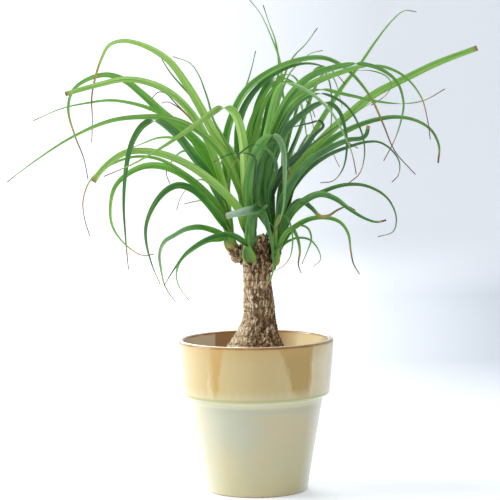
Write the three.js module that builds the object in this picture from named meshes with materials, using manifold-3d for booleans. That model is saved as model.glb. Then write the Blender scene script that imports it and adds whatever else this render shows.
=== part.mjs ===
// A ponytail palm in a glazed pot, in millimetres, +Z up. The origin is the centre of the pot's flat base.
// The trunk carries four heads of strap leaves: left (-X), front (-Y), right (+X) and the top one, behind.
// Each leaf is a thin channelled blade swept along its own midrib, from a sheathing foot to a drawn-out tip.

import * as THREE from "three";
import Module from "manifold-3d";
import { mergeVertices } from "three/addons/utils/BufferGeometryUtils.js";

const wasm = await Module();
wasm.setup();

const clearance = 0.3; // between a piece and the piece that it is seated in

const pot = {
  height: 140.6,
  rimRadius: 71.6,
  bandFoot: 89, // height of the lower edge of the thick band under the rim
  bandFootRadius: 67.9,
  neckRadius: 61.2, // of the body, close under the band
  baseRadius: 46.2,
  footRounding: 2.5,
  bandRounding: 3,
  wall: 5.6,
  floor: 8,
  floorRounding: 5,
  sectors: 40,
};

const soil = { level: 114, mound: 4, crumb: 1.6 };

// The trunk's rings: height, centre X, radius. It swells into a caudex that is half sunk in the soil.
const trunk = {
  rings: [
    [93.5, 0, 21], [98, 0, 29], [104, 0, 34], [111, 0, 35.4], [118, 0, 34], [124, 0, 30.6],
    [129.5, 0.3, 27.2], [135, 0.6, 24.2], [141, 1.2, 21.2], [147, 2, 18.7], [153, 2.9, 16.6], [160, 3.6, 15],
    [168, 3.4, 14.4], [177, 2.9, 13.9], [186, 2.5, 13.3], [195, 2.2, 12.8], [203, 1.8, 12.5],
    [210, 1.3, 12.4], [216, 2.4, 12], [222, 3, 11], [227.5, 3.3, 9.8], [232, 3.4, 8.4],
  ],
  bottom: 92,
  widest: 110.5, // height of the caudex's widest ring
  top: 233.5,
  lobes: 5,
  lobeDepth: 0.09, // share of the radius, at the foot
  bark: 0.7, // how far the corky plates stand out
  sectors: 26,
};

// A head of leaves grows from a knob of the trunk: base is the foot of its green core, lean its direction.
const heads = {
  left: {
    base: [-19, 4, 220],
    lean: [-0.3, 0.06, 0.95],
    knob: { centre: [-15.5, 3, 217.5], radius: 7.6 },
  },
  front: {
    base: [-4.5, -14.5, 211.5],
    lean: [-0.02, -0.1, 0.99],
    knob: { centre: [-3.5, -10.5, 211], radius: 6.6 },
  },
  right: {
    base: [17.5, -2.5, 207.5],
    lean: [0.26, 0, 0.95],
    knob: { centre: [13, -1.5, 207.5], radius: 6.8 },
  },
  top: {
    base: [18, 11, 221],
    lean: [0.03, 0.06, 1],
    knob: { centre: [14.5, 8.5, 218], radius: 7.6 },
  },
};

// Half width of a core against its height.
const core = {
  outline: [[3.6, 0.6], [5.6, 4], [6.2, 9], [5.7, 15], [4.3, 22], [2.4, 29]],
  height: 32,
  sectors: 12,
};

const blade = {
  thickness: 0.7,
  narrow: 5.2, // a blade under this width is flat, without a channel
  channel: 0.2, // depth of the channel as a share of the width
  foot: 0.7, // width of the foot, inside the core, as a share of the full width
  taper: 1.7, // the larger, the longer the strap keeps its width
  pinch: 0.35, // share of the width that a drawn-out tip loses besides
  trimmed: 0.3, // a leaf that keeps more than this share of its width has no such tip
  flat: 1.8, // chord error allowed between two stations
  longest: 60, // longest distance between two stations
  comesForward: -0.6, // a leaf that heads more to the front than this (-1 is straight at -Y)
  even: 4, // steps over which a blade's twist is evened out
};

// The leaves of each head, from the lowest and oldest to the youngest. Each row is: full width, degrees
// that a face is turned to the front (-Y), share of the width left at the end (a trimmed leaf keeps
// more), and the points X, Y, Z that the midrib runs through after it leaves the core.
const leaves = {
  left: [
    [4, 72, 0.12, [-30, -2, 232], [-42, -8, 231.5], [-56, -16, 224.5], [-67, -22, 215], [-71, -26, 203.5],
      [-69, -28, 193], [-60, -30, 179.5]],
    [6, 67, 0.1, [-35, 2, 239], [-49, -2, 243.5], [-62, -7, 242.5], [-73, -12, 237], [-82, -17, 231.5],
      [-86, -20, 221], [-85, -22, 208], [-82.5, -23, 195], [-78, -24, 185.5], [-72, -25, 178]],
    [8, 82, 0.1, [-31, -2, 251], [-45, -10, 270], [-57, -20, 280.5], [-69, -30, 284], [-80, -38, 279],
      [-90, -45, 267], [-96.5, -49, 251], [-97, -52, 236], [-92, -55, 215], [-84.5, -57, 196.5]],
    [3, 62, 0.2, [-30, 16, 247], [-38, 28, 260], [-46, 36, 265.5], [-55, 42, 264.5], [-65, 47, 262]],
    [8, 77, 0.1, [-29, 2, 254], [-43, -4, 274], [-62, -14, 291.5], [-81, -24, 301], [-98, -32, 302],
      [-113, -38, 295.5], [-124.5, -43, 284], [-128.5, -46, 267], [-127, -48, 250], [-117.5, -50, 235],
      [-101.5, -52, 223.5], [-90, -53, 224]],
    [4, 72, 0.1, [-30, 0, 260], [-46, -9, 280], [-66, -19, 297], [-87, -27, 308.5], [-108, -33, 310.5],
      [-130, -38, 303], [-146, -42, 291], [-153, -45, 273], [-152, -47, 257], [-147.5, -48, 241]],
    [3, 52, 0.1, [-31, 24, 264], [-40, 35, 280], [-49, 41, 285], [-60, 45, 278], [-68, 48, 268],
      [-72, 50, 256]],
    [5, 72, 0.1, [-32, 14, 278], [-42, 26, 298], [-54, 36, 310], [-65, 42, 311.5], [-75, 47, 303],
      [-81, 50, 292.5], [-78, 52, 281]],
    [6, 77, 0.15, [-27, 8, 264], [-38, 17, 292], [-53, 26, 312], [-70, 34, 323.5], [-87, 40, 324.5],
      [-102, 44, 319.5], [-113, 47, 315]],
    [9.5, 84, 0.1, [-28, 1, 262], [-38, -13, 287], [-54, -32, 311], [-69, -47, 331.5], [-84, -60, 343],
      [-96, -69, 341], [-106, -75, 327], [-112, -78, 305], [-115, -79, 272], [-114, -79, 242],
      [-112, -78, 213]],
    [6, 72, 0.08, [-27, 9.5, 264], [-36, 15, 290], [-50, 20, 314], [-66, 25, 335], [-84, 29, 347],
      [-103, 33, 355], [-130, 37, 360], [-152, 41, 358], [-177, 44, 353], [-204, 47, 342]],
    [9.5, 84, 0.06, [-26, 6, 264], [-33, 7, 290], [-44, 8, 313], [-62, 9, 332], [-82, 10, 348.5],
      [-100, 12, 365.5], [-117, 14, 379], [-133, 16, 384], [-151, 19, 380], [-165, 22, 369.5],
      [-169.5, 25, 352], [-164, 27, 328], [-156.5, 29, 307], [-153, 30, 287]],
    [5, 62, 0.12, [-26, 12, 277], [-37, 16, 310], [-50, 19, 334], [-60, 22, 345.5], [-69, 24, 353.5],
      [-78, 26, 358], [-84, 27, 357]],
    [7.5, 82, 0.55, [-25, 1, 268], [-31, -6, 294], [-41, -13, 323], [-54, -18, 347], [-71, -23, 365.5],
      [-91, -26, 376.5], [-114, -29, 380.5], [-138, -31, 376], [-168, -33, 368]],
    [3.5, 72, 0.15, [-25, 3, 277], [-34, 0, 307], [-46, -4, 330], [-58, -6, 345], [-70, -8, 358],
      [-79, -9, 367], [-85, -9, 368], [-91, -10, 362.5]],
    [4, 62, 0.15, [-24, 9, 287], [-31, 14, 322], [-43, 20, 347], [-58, 25, 365], [-75, 29, 385],
      [-87, 32, 405]],
    [8.5, 20, 0.12, [-27, 24, 264], [-35, 55, 292], [-41, 92, 306], [-45, 130, 302], [-47, 162, 286]],
    [6, 15, 0.12, [-24, 27, 260], [-30, 60, 286], [-34, 98, 292], [-36, 132, 280], [-36, 156, 264]],
    [4, 42, 0.12, [-23, 8, 292], [-24, 8, 324], [-16, 9, 350], [-6, 10, 370], [0, 11, 388], [4, 12, 404]],
    [8, 72, 0.05, [-23, 4, 284], [-25, 2, 318], [-17, -3, 348], [-4, -10, 369.5], [20, -13, 386.5],
      [48, -16, 396], [68, -20, 396], [86, -23, 386], [101, -26, 369.5], [110, -29, 354.5],
      [117.5, -31, 337], [128, -34, 312], [146, -37, 291]],
  ],
  front: [
    [4, 66, 0.25, [-0.7, -22, 232.5], [2.1, -24, 235], [5.3, -25, 237], [8.9, -25.5, 237.6],
      [11.5, -26, 234.5]],
    [6, 77, 0.12, [-10.5, -22, 231.5], [-18, -27, 237], [-28, -33, 239], [-45, -42, 234.5],
      [-61, -49, 224.5], [-72.5, -54, 210], [-81.5, -58, 196]],
    [9.5, 76, 0.12, [-3.7, -27, 241.5], [-2.2, -29, 252.5], [1.5, -32, 260], [6, -36, 260.5],
      [9.5, -39, 254.5], [12.5, -41, 245], [15, -42, 236], [16.5, -43, 225.5], [17, -42.8, 212]],
    [3, 70, 0.3, [-2.2, -26.5, 252.5], [2.8, -32, 258.5], [9.5, -38, 253.5], [14.5, -41.2, 236],
      [16.7, -42.2, 220], [16.8, -42.2, 209], [14.5, -41.8, 200.5], [1, -40, 179.5]],
    [12, 55, 0.5, [-2, -23, 252], [4, -28.5, 260.5], [8, -35.5, 263], [4.5, -42, 263.5],
      [-1.5, -46.5, 262.8], [-8, -49.5, 261.8], [-13.8, -52, 260.6], [-20, -54, 259.2],
      [-25.6, -55.5, 257.5]],
    [8, 77, 0.6, [-13, -22, 259], [-24, -28, 274], [-40, -37, 290], [-61, -48, 305], [-80.5, -56, 313.5],
      [-98, -62, 317], [-114, -67, 315.5], [-126.5, -70, 308], [-136, -73, 299], [-141.5, -75, 291]],
    [10.5, 50, 0.1, [-5, -21, 257], [-4.5, -30, 283.5], [0.5, -41, 307], [9.5, -52, 324], [18, -60, 329],
      [24.5, -66, 324], [27.5, -70, 311], [27.5, -73, 286.5], [26.5, -75, 269], [23, -76, 255],
      [15.5, -77, 241]],
    [4.5, 20, 0.1, [-3, -21, 264], [2, -32, 292], [1, -43, 309], [-10, -54, 313.5], [-22, -62, 312.5],
      [-35.5, -68, 306.5]],
    [8, 62, 0.15, [1, -19, 264], [5, -25, 292], [11, -33, 311.5], [19, -41, 321.5], [27, -46, 319],
      [31, -49, 308], [32, -51, 294]],
    [9, 62, 0.08, [-8, -19, 260], [-16, -23, 286], [-31.7, -29, 316], [-51.3, -36, 334],
      [-73.8, -42, 344], [-98, -47, 346.5], [-127.3, -52, 343.5], [-161, -57, 330], [-195, -62, 309],
      [-219, -66, 291.5]],
    [10, 77, 0.06, [-6, -21, 262], [-7, -29, 289], [-8, -38, 314], [-11, -48, 336], [-17, -58, 350.5],
      [-26.5, -68, 354.5], [-46.5, -84, 343], [-75, -99, 324.5], [-103, -110, 309], [-130, -118, 298]],
    [4, 62, 0.08, [-9, -16, 274], [-15, -14, 302], [-27, -11, 326], [-36, -8, 343], [-40, -5, 359],
      [-43.5, -2, 370], [-48, 1, 382], [-56, 4, 393.5], [-72, 7, 400]],
    [9.5, 84, 0.04, [-10, -16, 267], [-13, -13, 294], [-21, -11, 312], [-35, -9, 330], [-47, -6, 353],
      [-59, -3, 374], [-76, 0, 397], [-99, 4, 411], [-118, 7, 415], [-130, 9, 411], [-138, 11, 397],
      [-143.5, 13, 381], [-147, 14, 364], [-147, 15, 344], [-148, 16, 322]],
    [9, 72, 0.1, [-8, -13, 274], [-13, -10, 307], [-12, -8, 340], [-4, -6, 359], [8, -4, 373.5],
      [22, -1, 383.5], [36, 2, 389.5], [50, 5, 392], [64, 8, 389.5], [76, 11, 383], [86, 14, 372]],
  ],
  right: [
    [3, 52, 0.15, [28, 2, 227], [40, 4, 232], [51, 5, 230], [58.5, 6, 221], [60.5, 7, 211.5],
      [53.5, 8, 205]],
    [5, 72, 0.12, [28, -18, 237], [34.5, -26, 242.5], [39, -31, 235], [41, -33, 223], [39.5, -34, 211],
      [42, -34, 203]],
    [4.5, 30, 0.12, [29, -10, 239], [40, -17, 245], [48.5, -21, 242.5], [51.5, -24, 234], [48, -26, 223],
      [42.5, -27, 210.5]],
    [5.5, 72, 0.12, [34, 5, 239], [50, 8, 248.5], [66, 10, 250], [79.5, 12, 245], [86.5, 14, 234.5],
      [89, 15, 218], [91.5, 16, 206], [97, 17, 196.5]],
    [3, 0, 0.1, [21, -18, 248], [25, -26, 256], [31, -30, 251], [34, -32, 241], [34.5, -33, 231],
      [32, -33, 218], [26, -32, 210], [17.5, -31, 205]],
    [7, 82, 0.12, [30.3, -6.5, 248.6], [36, -12, 263], [43, -16, 267.5], [52, -20, 261.5], [60, -22, 254],
      [68, -24, 254.5], [76, -26, 259.5], [85, -28, 262.5], [92, -29, 259]],
    [8, 84, 0.3, [31, -9.4, 251.4], [46, -18, 267.5], [60, -25, 274], [74, -31, 270], [86.5, -35, 260.5],
      [99.5, -38, 252.5], [110, -40, 249], [119, -41, 250.5]],
    [5, 72, 0.1, [31, 1, 249], [44, 1, 264], [61, 0, 273.5], [84, -1, 280.5], [104, -3, 279],
      [122, -4, 268], [130, -5, 250.5], [127, -6, 237.5], [113, -7, 233]],
    [5.5, 72, 0.1, [28, -8, 264], [47, -18, 293], [68, -26, 309], [88, -32, 317], [103, -37, 321],
      [114, -40, 320.5], [124, -43, 314], [131, -45, 303], [130, -46, 291.5], [124, -47, 285]],
    [9.5, 77, 0.35, [28, -15, 270], [47, -27, 300], [68, -36, 315], [86, -43, 323], [97, -47, 324.5],
      [101.5, -49, 328], [103.5, -50, 336]],
    [8.5, 66, 0.1, [28.5, -2.5, 256], [38, -9, 284], [52, -15, 303], [68, -19, 315], [84, -23, 320],
      [95, -27, 315]],
    [7.5, 77, 0.3, [30, 3, 269], [50, 0, 301], [70, -3, 320.5], [90, -6, 332], [111.5, -8, 339.5],
      [131.5, -10, 342], [149, -12, 338.5], [162, -14, 330], [169, -15, 315.5], [168, -16, 300]],
    [3.5, 62, 0.12, [26.5, -4, 287], [45, -16, 311], [69, -27, 330], [85, -33, 341], [98.5, -35, 351],
      [110.5, -37, 358]],
    [8.5, 72, 0.65, [31, 8, 275], [45, 13, 301], [64, 17, 321.5], [85, 21, 340.5], [112, 25, 361.5],
      [142.5, 28, 376.5], [172.5, 31, 390], [209, 34, 403]],
    [6, 15, 0.12, [26, 22, 266], [34, 52, 293], [38, 90, 306], [40, 126, 298], [41, 150, 276]],
    [7, 15, 0.12, [29, 3, 256], [29, 20, 290], [31, 45, 332], [38, 84, 362], [46, 128, 355], [52, 168, 328],
      [55, 190, 298]],
    [8, 25, 0.12, [31, 22, 270], [42, 58, 302], [52, 100, 320], [58, 142, 320], [62, 178, 308]],
    [7, 67, 0.1, [33, 10, 282], [48, 18, 311.5], [65, 24, 341], [84, 29, 369.5], [98, 32, 386.5],
      [116.5, 35, 412.5], [131, 37, 430], [142, 39, 438.5], [153.5, 40, 437.5]],
    [4, 52, 0.1, [29, 12, 302], [42, 16, 352], [54, 18, 380], [63, 18, 388], [70, 17, 378], [73, 16, 359],
      [72.5, 15, 340], [71, 14, 320], [74.5, 13, 307], [79.5, 12, 296]],
    [6, 20, 0.15, [30, 16, 294], [44, 24, 330], [55, 30, 360], [64, 40, 378], [72, 58, 382],
      [80, 82, 370], [86, 104, 348]],
  ],
  top: [
    [6, 10, 0.1, [-4, 26, 270], [-6, 52, 296], [-6, 80, 288], [-5, 98, 252], [-5, 104, 202], [-4, 106, 162]],
    [6, 10, 0.1, [16, 26, 272], [15, 56, 304], [14, 90, 306], [14, 116, 266], [13, 124, 214],
      [12, 126, 170]],
    [8, 10, 0.12, [-2, 24, 274], [-10, 58, 302], [-20, 102, 312], [-29, 150, 300], [-34, 185, 278]],
    [4.5, 60, 0.08, [14, -10, 272], [21, -34, 300], [13, -54, 316], [0, -66, 321], [-12.5, -72, 313],
      [-18.5, -76, 302], [-22, -78, 288]],
    [10, 76, 0.08, [14, -5, 268], [26, -16, 294], [42, -28, 311], [56, -38, 328.5], [63.5, -43, 336],
      [60, -46, 341], [50, -48, 339], [31, -50, 335]],
    [9.5, 70, 0.06, [10, -10, 274], [20, -22, 310], [31, -32, 333], [44, -40, 346], [58.5, -46, 355.5],
      [68.5, -50, 356.5], [77, -54, 350], [83, -57, 330], [83, -59, 310.5], [79, -61, 297],
      [71, -62, 288], [59.5, -63, 286.5]],
    [5, 66, 0.08, [12, -14, 280], [23, -30, 326], [41, -44, 356], [58, -52, 365], [70.5, -57, 363],
      [84, -61, 354], [93.5, -65, 339], [98.5, -68, 322.5], [98.5, -70, 308.5], [94, -72, 294.5],
      [84.5, -73, 286.5]],
    [7.5, 66, 0.08, [8, -5, 274], [16, -14, 314], [28, -23, 342], [41, -31, 359], [58.5, -37, 368],
      [87.5, -42, 363], [111, -46, 357.5], [134.5, -49, 355], [153.5, -52, 358], [172, -55, 368]],
    [8.5, 70, 0.1, [1, -3, 274], [0, 2, 306], [5, 7, 338], [13, 11, 360], [24, 14, 373], [36, 17, 375],
      [50, 21, 363], [58, 25, 342]],
    [9.5, 74, 0.05, [3, -8, 272], [10, -18, 310], [21, -27, 339], [34, -34, 363], [50, -39, 379],
      [69, -42, 387], [97, -46, 391], [115.5, -48, 386], [129.5, -50, 374.5], [135, -51, 356],
      [132.5, -52, 340], [126.5, -53, 323], [116.5, -54, 304.5]],
    [9, 70, 0.05, [6, -1, 276], [13, -6, 316], [25, -13, 347], [42, -20, 365], [60, -25, 376],
      [82, -29, 384], [99, -31, 388.5], [120.5, -33, 387.5], [138.5, -35, 378], [152, -37, 360],
      [157, -38, 341], [159.5, -39, 322.5]],
    [9, 70, 0.1, [-3, 0, 274], [-6, 7, 308], [-3, 12, 333], [2, 16, 347], [9, 20, 360], [17, 24, 371],
      [27, 29, 378], [39, 36, 374], [50, 44, 359]],
    [7, 76, 0.08, [6, -12, 286], [14, -32, 336], [26, -50, 373], [39, -60, 373], [54.5, -69, 364.5],
      [70, -77, 349], [81, -84, 328.5], [87, -88, 313.5], [90.5, -90, 295]],
    [4.5, 60, 0.08, [11, 1, 282], [21, -3, 328], [35, -8, 357], [51, -12, 373], [70, -16, 381],
      [98, -20, 385], [114, -22, 383], [123, -23, 378], [126, -24, 371], [120, -25, 362],
      [107, -26, 353.5]],
    [7, 25, 0.12, [16, 5, 290], [17, 12, 332], [20, 26, 360], [22, 50, 374], [21, 82, 370],
      [19, 112, 348], [17, 136, 316]],
    [7, 15, 0.12, [3, 12, 278], [4, 28, 316], [6, 54, 340], [8, 90, 344], [10, 126, 328], [13, 156, 299]],
    [9.5, 25, 0.1, [1, 7, 284], [0, 18, 322], [5, 30, 352], [14, 44, 371], [22, 66, 378], [28, 96, 368],
      [32, 122, 347], [35, 140, 320]],
    [8, 20, 0.1, [7, 7, 288], [11, 16, 330], [18, 28, 360], [27, 46, 378], [37, 68, 380], [47, 92, 368],
      [55, 112, 346], [60, 126, 324]],
    [4, 30, 0.1, [12, 6, 302], [23, 12, 352], [35, 17, 383], [45, 19, 393], [54, 21, 400.5],
      [66, 23, 403.5]],
    [4, 30, 0.1, [10, 13, 302], [21, 24, 352], [37, 31, 395], [51, 34, 410], [61.5, 37, 424]],
    [4.5, 30, 0.08, [7, 15, 304], [17, 22, 352], [25, 24, 386], [22.5, 25, 412], [16.5, 27, 430],
      [11.5, 29, 446]],
    [5, 30, 0.06, [10, 3, 296], [20, 7, 340], [27.5, 10, 374], [26, 11, 395], [18, 13, 418], [9, 14, 438],
      [-1, 15, 451]],
  ],
};

const colour = { glaze: 0xc8b682, earth: 0x3b2a1e, bark: 0x8a6f4e, leaf: 0x5c9440 };

function finish(hex, roughness) {
  return new THREE.MeshStandardMaterial({ color: hex, roughness, metalness: 0 });
}

// Repeatable random numbers from 0 to 1.
function randomFrom(seed) {
  let state = seed;
  return () => {
    state = (state + 0x6d2b79f5) | 0;
    let t = Math.imul(state ^ (state >>> 15), 1 | state);
    t = (t + Math.imul(t ^ (t >>> 7), 61 | t)) ^ t;
    return ((t ^ (t >>> 14)) >>> 0) / 4294967296;
  };
}

function solidOf(geometry) {
  const bare = geometry.clone();
  for (const name of ["normal", "uv"]) bare.deleteAttribute(name);
  const merged = mergeVertices(bare, 1e-3);
  return new wasm.Manifold(
    new wasm.Mesh({
      numProp: 3,
      vertProperties: new Float32Array(merged.attributes.position.array),
      triVerts: new Uint32Array(merged.index.array),
    }),
  );
}

function geometryOf(solid) {
  const mesh = solid.getMesh();
  const geometry = new THREE.BufferGeometry();
  geometry.setAttribute("position", new THREE.BufferAttribute(new Float32Array(mesh.vertProperties), 3));
  geometry.setIndex(new THREE.BufferAttribute(new Uint32Array(mesh.triVerts), 1));
  return geometry;
}

// Points of a round corner at [x, y], from one direction to another, in degrees.
function corner(x, y, radius, from, to, steps) {
  return Array.from({ length: steps + 1 }, (_, i) => {
    const a = THREE.MathUtils.degToRad(from + ((to - from) * i) / steps);
    return new THREE.Vector2(x + radius * Math.cos(a), y + radius * Math.sin(a));
  });
}

// Radius of the pot's inside at a height: parallel to the outside of the body, then straight to the lip.
function insideRadius(z) {
  const slope = (pot.neckRadius - pot.baseRadius) / pot.bandFoot;
  const atBand = pot.neckRadius - pot.wall;
  if (z < pot.bandFoot) return atBand - slope * (pot.bandFoot - z);
  const t = (z - pot.bandFoot) / (pot.height - pot.wall / 2 - pot.bandFoot);
  return atBand + t * (pot.rimRadius - pot.wall - atBand);
}

function potGeometry() {
  const { footRounding: foot, bandRounding: round, wall } = pot;
  const lip = wall / 2;
  const insideFoot = pot.floor + pot.floorRounding;
  const outline = [
    new THREE.Vector2(0, 0),
    ...corner(pot.baseRadius - foot, foot, foot, -90, -8, 3),
    ...corner(pot.neckRadius + 2, pot.bandFoot - 3.5, 2.5, 188, 100, 2),
    ...corner(pot.bandFootRadius - round, pot.bandFoot + round, round, -80, 0, 3),
    ...corner(pot.rimRadius - lip, pot.height - lip, lip, 0, 180, 6),
    new THREE.Vector2(insideRadius(pot.bandFoot), pot.bandFoot),
    ...corner(insideRadius(insideFoot) - pot.floorRounding, insideFoot, pot.floorRounding, 0, -90, 2),
    new THREE.Vector2(0, pot.floor),
  ];
  return new THREE.LatheGeometry(outline, pot.sectors).rotateX(Math.PI / 2);
}

// A closed solid about Z: rings of [z, radius] between two end points, each point moved by a rule.
function spun(rings, below, above, sectors, move = (point) => point) {
  const positions = [...move(new THREE.Vector3(0, 0, below), 0, 0)];
  rings.forEach(([z, radius], row) => {
    for (let i = 0; i < sectors; i++) {
      const a = (2 * Math.PI * i) / sectors;
      const point = new THREE.Vector3(radius * Math.cos(a), radius * Math.sin(a), z);
      positions.push(...move(point, a, row + 1));
    }
  });
  positions.push(...move(new THREE.Vector3(0, 0, above), 0, rings.length + 1));
  const last = positions.length / 3 - 1;
  const faces = [];
  for (let i = 0; i < sectors; i++) {
    const next = (i + 1) % sectors;
    faces.push(0, 1 + next, 1 + i);
    for (let row = 0; row < rings.length - 1; row++) {
      const a = 1 + row * sectors;
      const b = a + sectors;
      faces.push(a + i, a + next, b + next, a + i, b + next, b + i);
    }
    const top = 1 + (rings.length - 1) * sectors;
    faces.push(top + i, top + next, last);
  }
  const geometry = new THREE.BufferGeometry();
  geometry.setAttribute("position", new THREE.Float32BufferAttribute(positions, 3));
  geometry.setIndex(faces);
  return geometry;
}

// The trunk's stem, grown outwards by a little where a socket for it is cut.
function stemSolid(grow = 0) {
  const random = randomFrom(7);
  const shape = (point, angle, row) => {
    const [z, centre] = trunk.rings[Math.min(Math.max(row - 1, 0), trunk.rings.length - 1)];
    const foot = THREE.MathUtils.clamp((167 - z) / 40, 0, 1);
    const lobes = 1 + trunk.lobeDepth * foot * Math.cos(trunk.lobes * angle + 0.55 + z / 40);
    const plate = trunk.bark * (random() - 0.5) * 2;
    const radius = Math.hypot(point.x, point.y);
    const share = radius > 0 ? (radius * lobes + plate + grow) / radius : 1;
    const lift = point.z < trunk.widest ? -grow : grow;
    return new THREE.Vector3(point.x * share + centre, point.y * share, point.z + lift);
  };
  const rings = trunk.rings.map(([z, , radius]) => [z, radius]);
  return solidOf(spun(rings, trunk.bottom, trunk.top, trunk.sectors, shape));
}

function knobSolid({ centre, radius }, seed) {
  const random = randomFrom(seed);
  const rows = 6;
  const rings = Array.from({ length: rows }, (_, i) => {
    const a = -Math.PI / 2 + (Math.PI * (i + 1)) / (rows + 1);
    return [radius * Math.sin(a), radius * Math.cos(a)];
  });
  const rough = (point) => {
    const stretch = 1 + (random() - 0.5) * 0.12;
    return point.multiplyScalar(stretch).add(new THREE.Vector3(...centre));
  };
  return solidOf(spun(rings, -radius, radius, 12, rough));
}

function coreSolid(head, grow = 0) {
  const rings = core.outline.map(([radius, height]) => [height, radius + grow]);
  const turned = new THREE.Quaternion().setFromUnitVectors(
    new THREE.Vector3(0, 0, 1),
    new THREE.Vector3(...head.lean).normalize(),
  );
  const place = (point) => point.applyQuaternion(turned).add(new THREE.Vector3(...head.base));
  return solidOf(spun(rings, -grow, core.height + grow, core.sectors, place));
}

function trunkSolid() {
  let solid = stemSolid();
  const knobs = Object.values(heads).flatMap(({ knob }) => knob ?? []);
  knobs.forEach((knob, i) => {
    solid = solid.add(knobSolid(knob, 20 + i));
  });
  for (const head of Object.values(heads)) solid = solid.subtract(coreSolid(head, clearance));
  return solid;
}

function soilSolid() {
  const random = randomFrom(3);
  const { level, mound } = soil;
  const edge = (z) => insideRadius(z) - clearance;
  const insideFoot = pot.floor + pot.floorRounding;
  const rings = [
    [pot.floor, edge(insideFoot) - pot.floorRounding],
    [insideFoot, edge(insideFoot)],
    [pot.bandFoot, edge(pot.bandFoot)],
    [level, edge(level)],
  ];
  const across = 4;
  for (let i = 1; i < across; i++) {
    const share = i / across;
    rings.push([level + mound * share * (2 - share), edge(level) * (1 - share)]);
  }
  const firstTop = 4;
  const crumbs = (point, angle, row) => {
    if (row <= firstTop) return point;
    return point.setZ(point.z + (random() - 0.5) * 2 * soil.crumb);
  };
  const whole = solidOf(spun(rings, pot.floor, level + mound, pot.sectors, crumbs));
  return whole.subtract(stemSolid(clearance));
}

// The midrib of a leaf, from inside the core: its foot is higher up the core the younger the leaf is.
function midrib(head, points, age) {
  const lean = new THREE.Vector3(...head.lean).normalize();
  const base = new THREE.Vector3(...head.base);
  const first = new THREE.Vector3(...points[0]);
  const height = THREE.MathUtils.lerp(6, 20, age);
  const along = first.clone().sub(base).dot(lean);
  const outwards = first.clone().sub(base).addScaledVector(lean, -along).normalize();
  const foot = base.clone().addScaledVector(lean, height).addScaledVector(outwards, 1.2);
  const sheath = base.clone().addScaledVector(lean, height + 9).addScaledVector(outwards, 3.6);
  return new THREE.CatmullRomCurve3([foot, sheath, ...points.map((p) => new THREE.Vector3(...p))], false);
}

// Full width of a blade at a share of its length: narrow foot, long strap, drawn-out tip.
function widthAt(t, width, end) {
  const flare = THREE.MathUtils.lerp(blade.foot, 1, THREE.MathUtils.smoothstep(t, 0, 0.14));
  const taper = 1 - (1 - end) * t ** blade.taper;
  const drawn = end > blade.trimmed ? 1 : 1 - blade.pinch * THREE.MathUtils.smoothstep(t, 0.45, 0.9);
  return Math.max(width * flare * taper * drawn, 1);
}

// Even steps along the midrib, each with the direction across the blade. The upper face looks inwards
// and up, turned to the front by the leaf's own angle; a leaf that comes forward shows its back as it rises.
function stationsOf(curve, turn) {
  const count = 90;
  const front = new THREE.Vector3(0, -1, 0);
  const places = curve.getSpacedPoints(count);
  const heading = places[count >> 1].clone().sub(places[0]).setZ(0).normalize();
  const level = new THREE.Vector3(0, 0, 1).cross(heading);
  const forward = heading.y < blade.comesForward;
  const alongs = places.map((place, i) => {
    return places[Math.min(i + 1, count)].clone().sub(places[Math.max(i - 1, 0)]).normalize();
  });
  const faces = alongs.map((along, i) => {
    const natural = along.clone().cross(level).normalize();
    const toFront = front.clone().addScaledVector(along, -along.dot(front));
    const share = forward ? THREE.MathUtils.clamp(4 * natural.dot(front), -1, 1) : 1;
    const angle = THREE.MathUtils.degToRad(turn) * THREE.MathUtils.smoothstep(i / count, 0, 0.16);
    return natural.multiplyScalar(Math.cos(angle)).addScaledVector(toFront, Math.sin(angle) * share);
  });
  return places.map((place, i) => {
    const mean = new THREE.Vector3();
    for (const face of faces.slice(Math.max(i - blade.even, 0), i + blade.even + 1)) mean.add(face);
    const across = mean.cross(alongs[i]).normalize();
    return { t: i / count, place, across, up: new THREE.Vector3().crossVectors(alongs[i], across) };
  });
}

// Keeps only the stations that the blade's curve needs.
function thinned(stations) {
  const kept = [stations[0]];
  let from = 0;
  for (let i = 2; i < stations.length; i++) {
    const start = stations[from].place;
    const chord = stations[i].place.clone().sub(start);
    const direction = chord.clone().normalize();
    const strays = stations.slice(from + 1, i).some(({ place }) => {
      const off = place.clone().sub(start);
      return off.addScaledVector(direction, -off.dot(direction)).length() > blade.flat;
    });
    if (strays || chord.length() > blade.longest) {
      from = i - 1;
      kept.push(stations[from]);
    }
  }
  kept.push(stations.at(-1));
  return kept;
}

// Points round a station: [share of the half width, 1 on the lower face].
const channelSection = [[1, 0], [0, 0], [-1, 0], [-1, 1], [0, 1], [1, 1]];
const flatSection = [[1, 0], [-1, 0], [-1, 1], [1, 1]];

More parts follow.
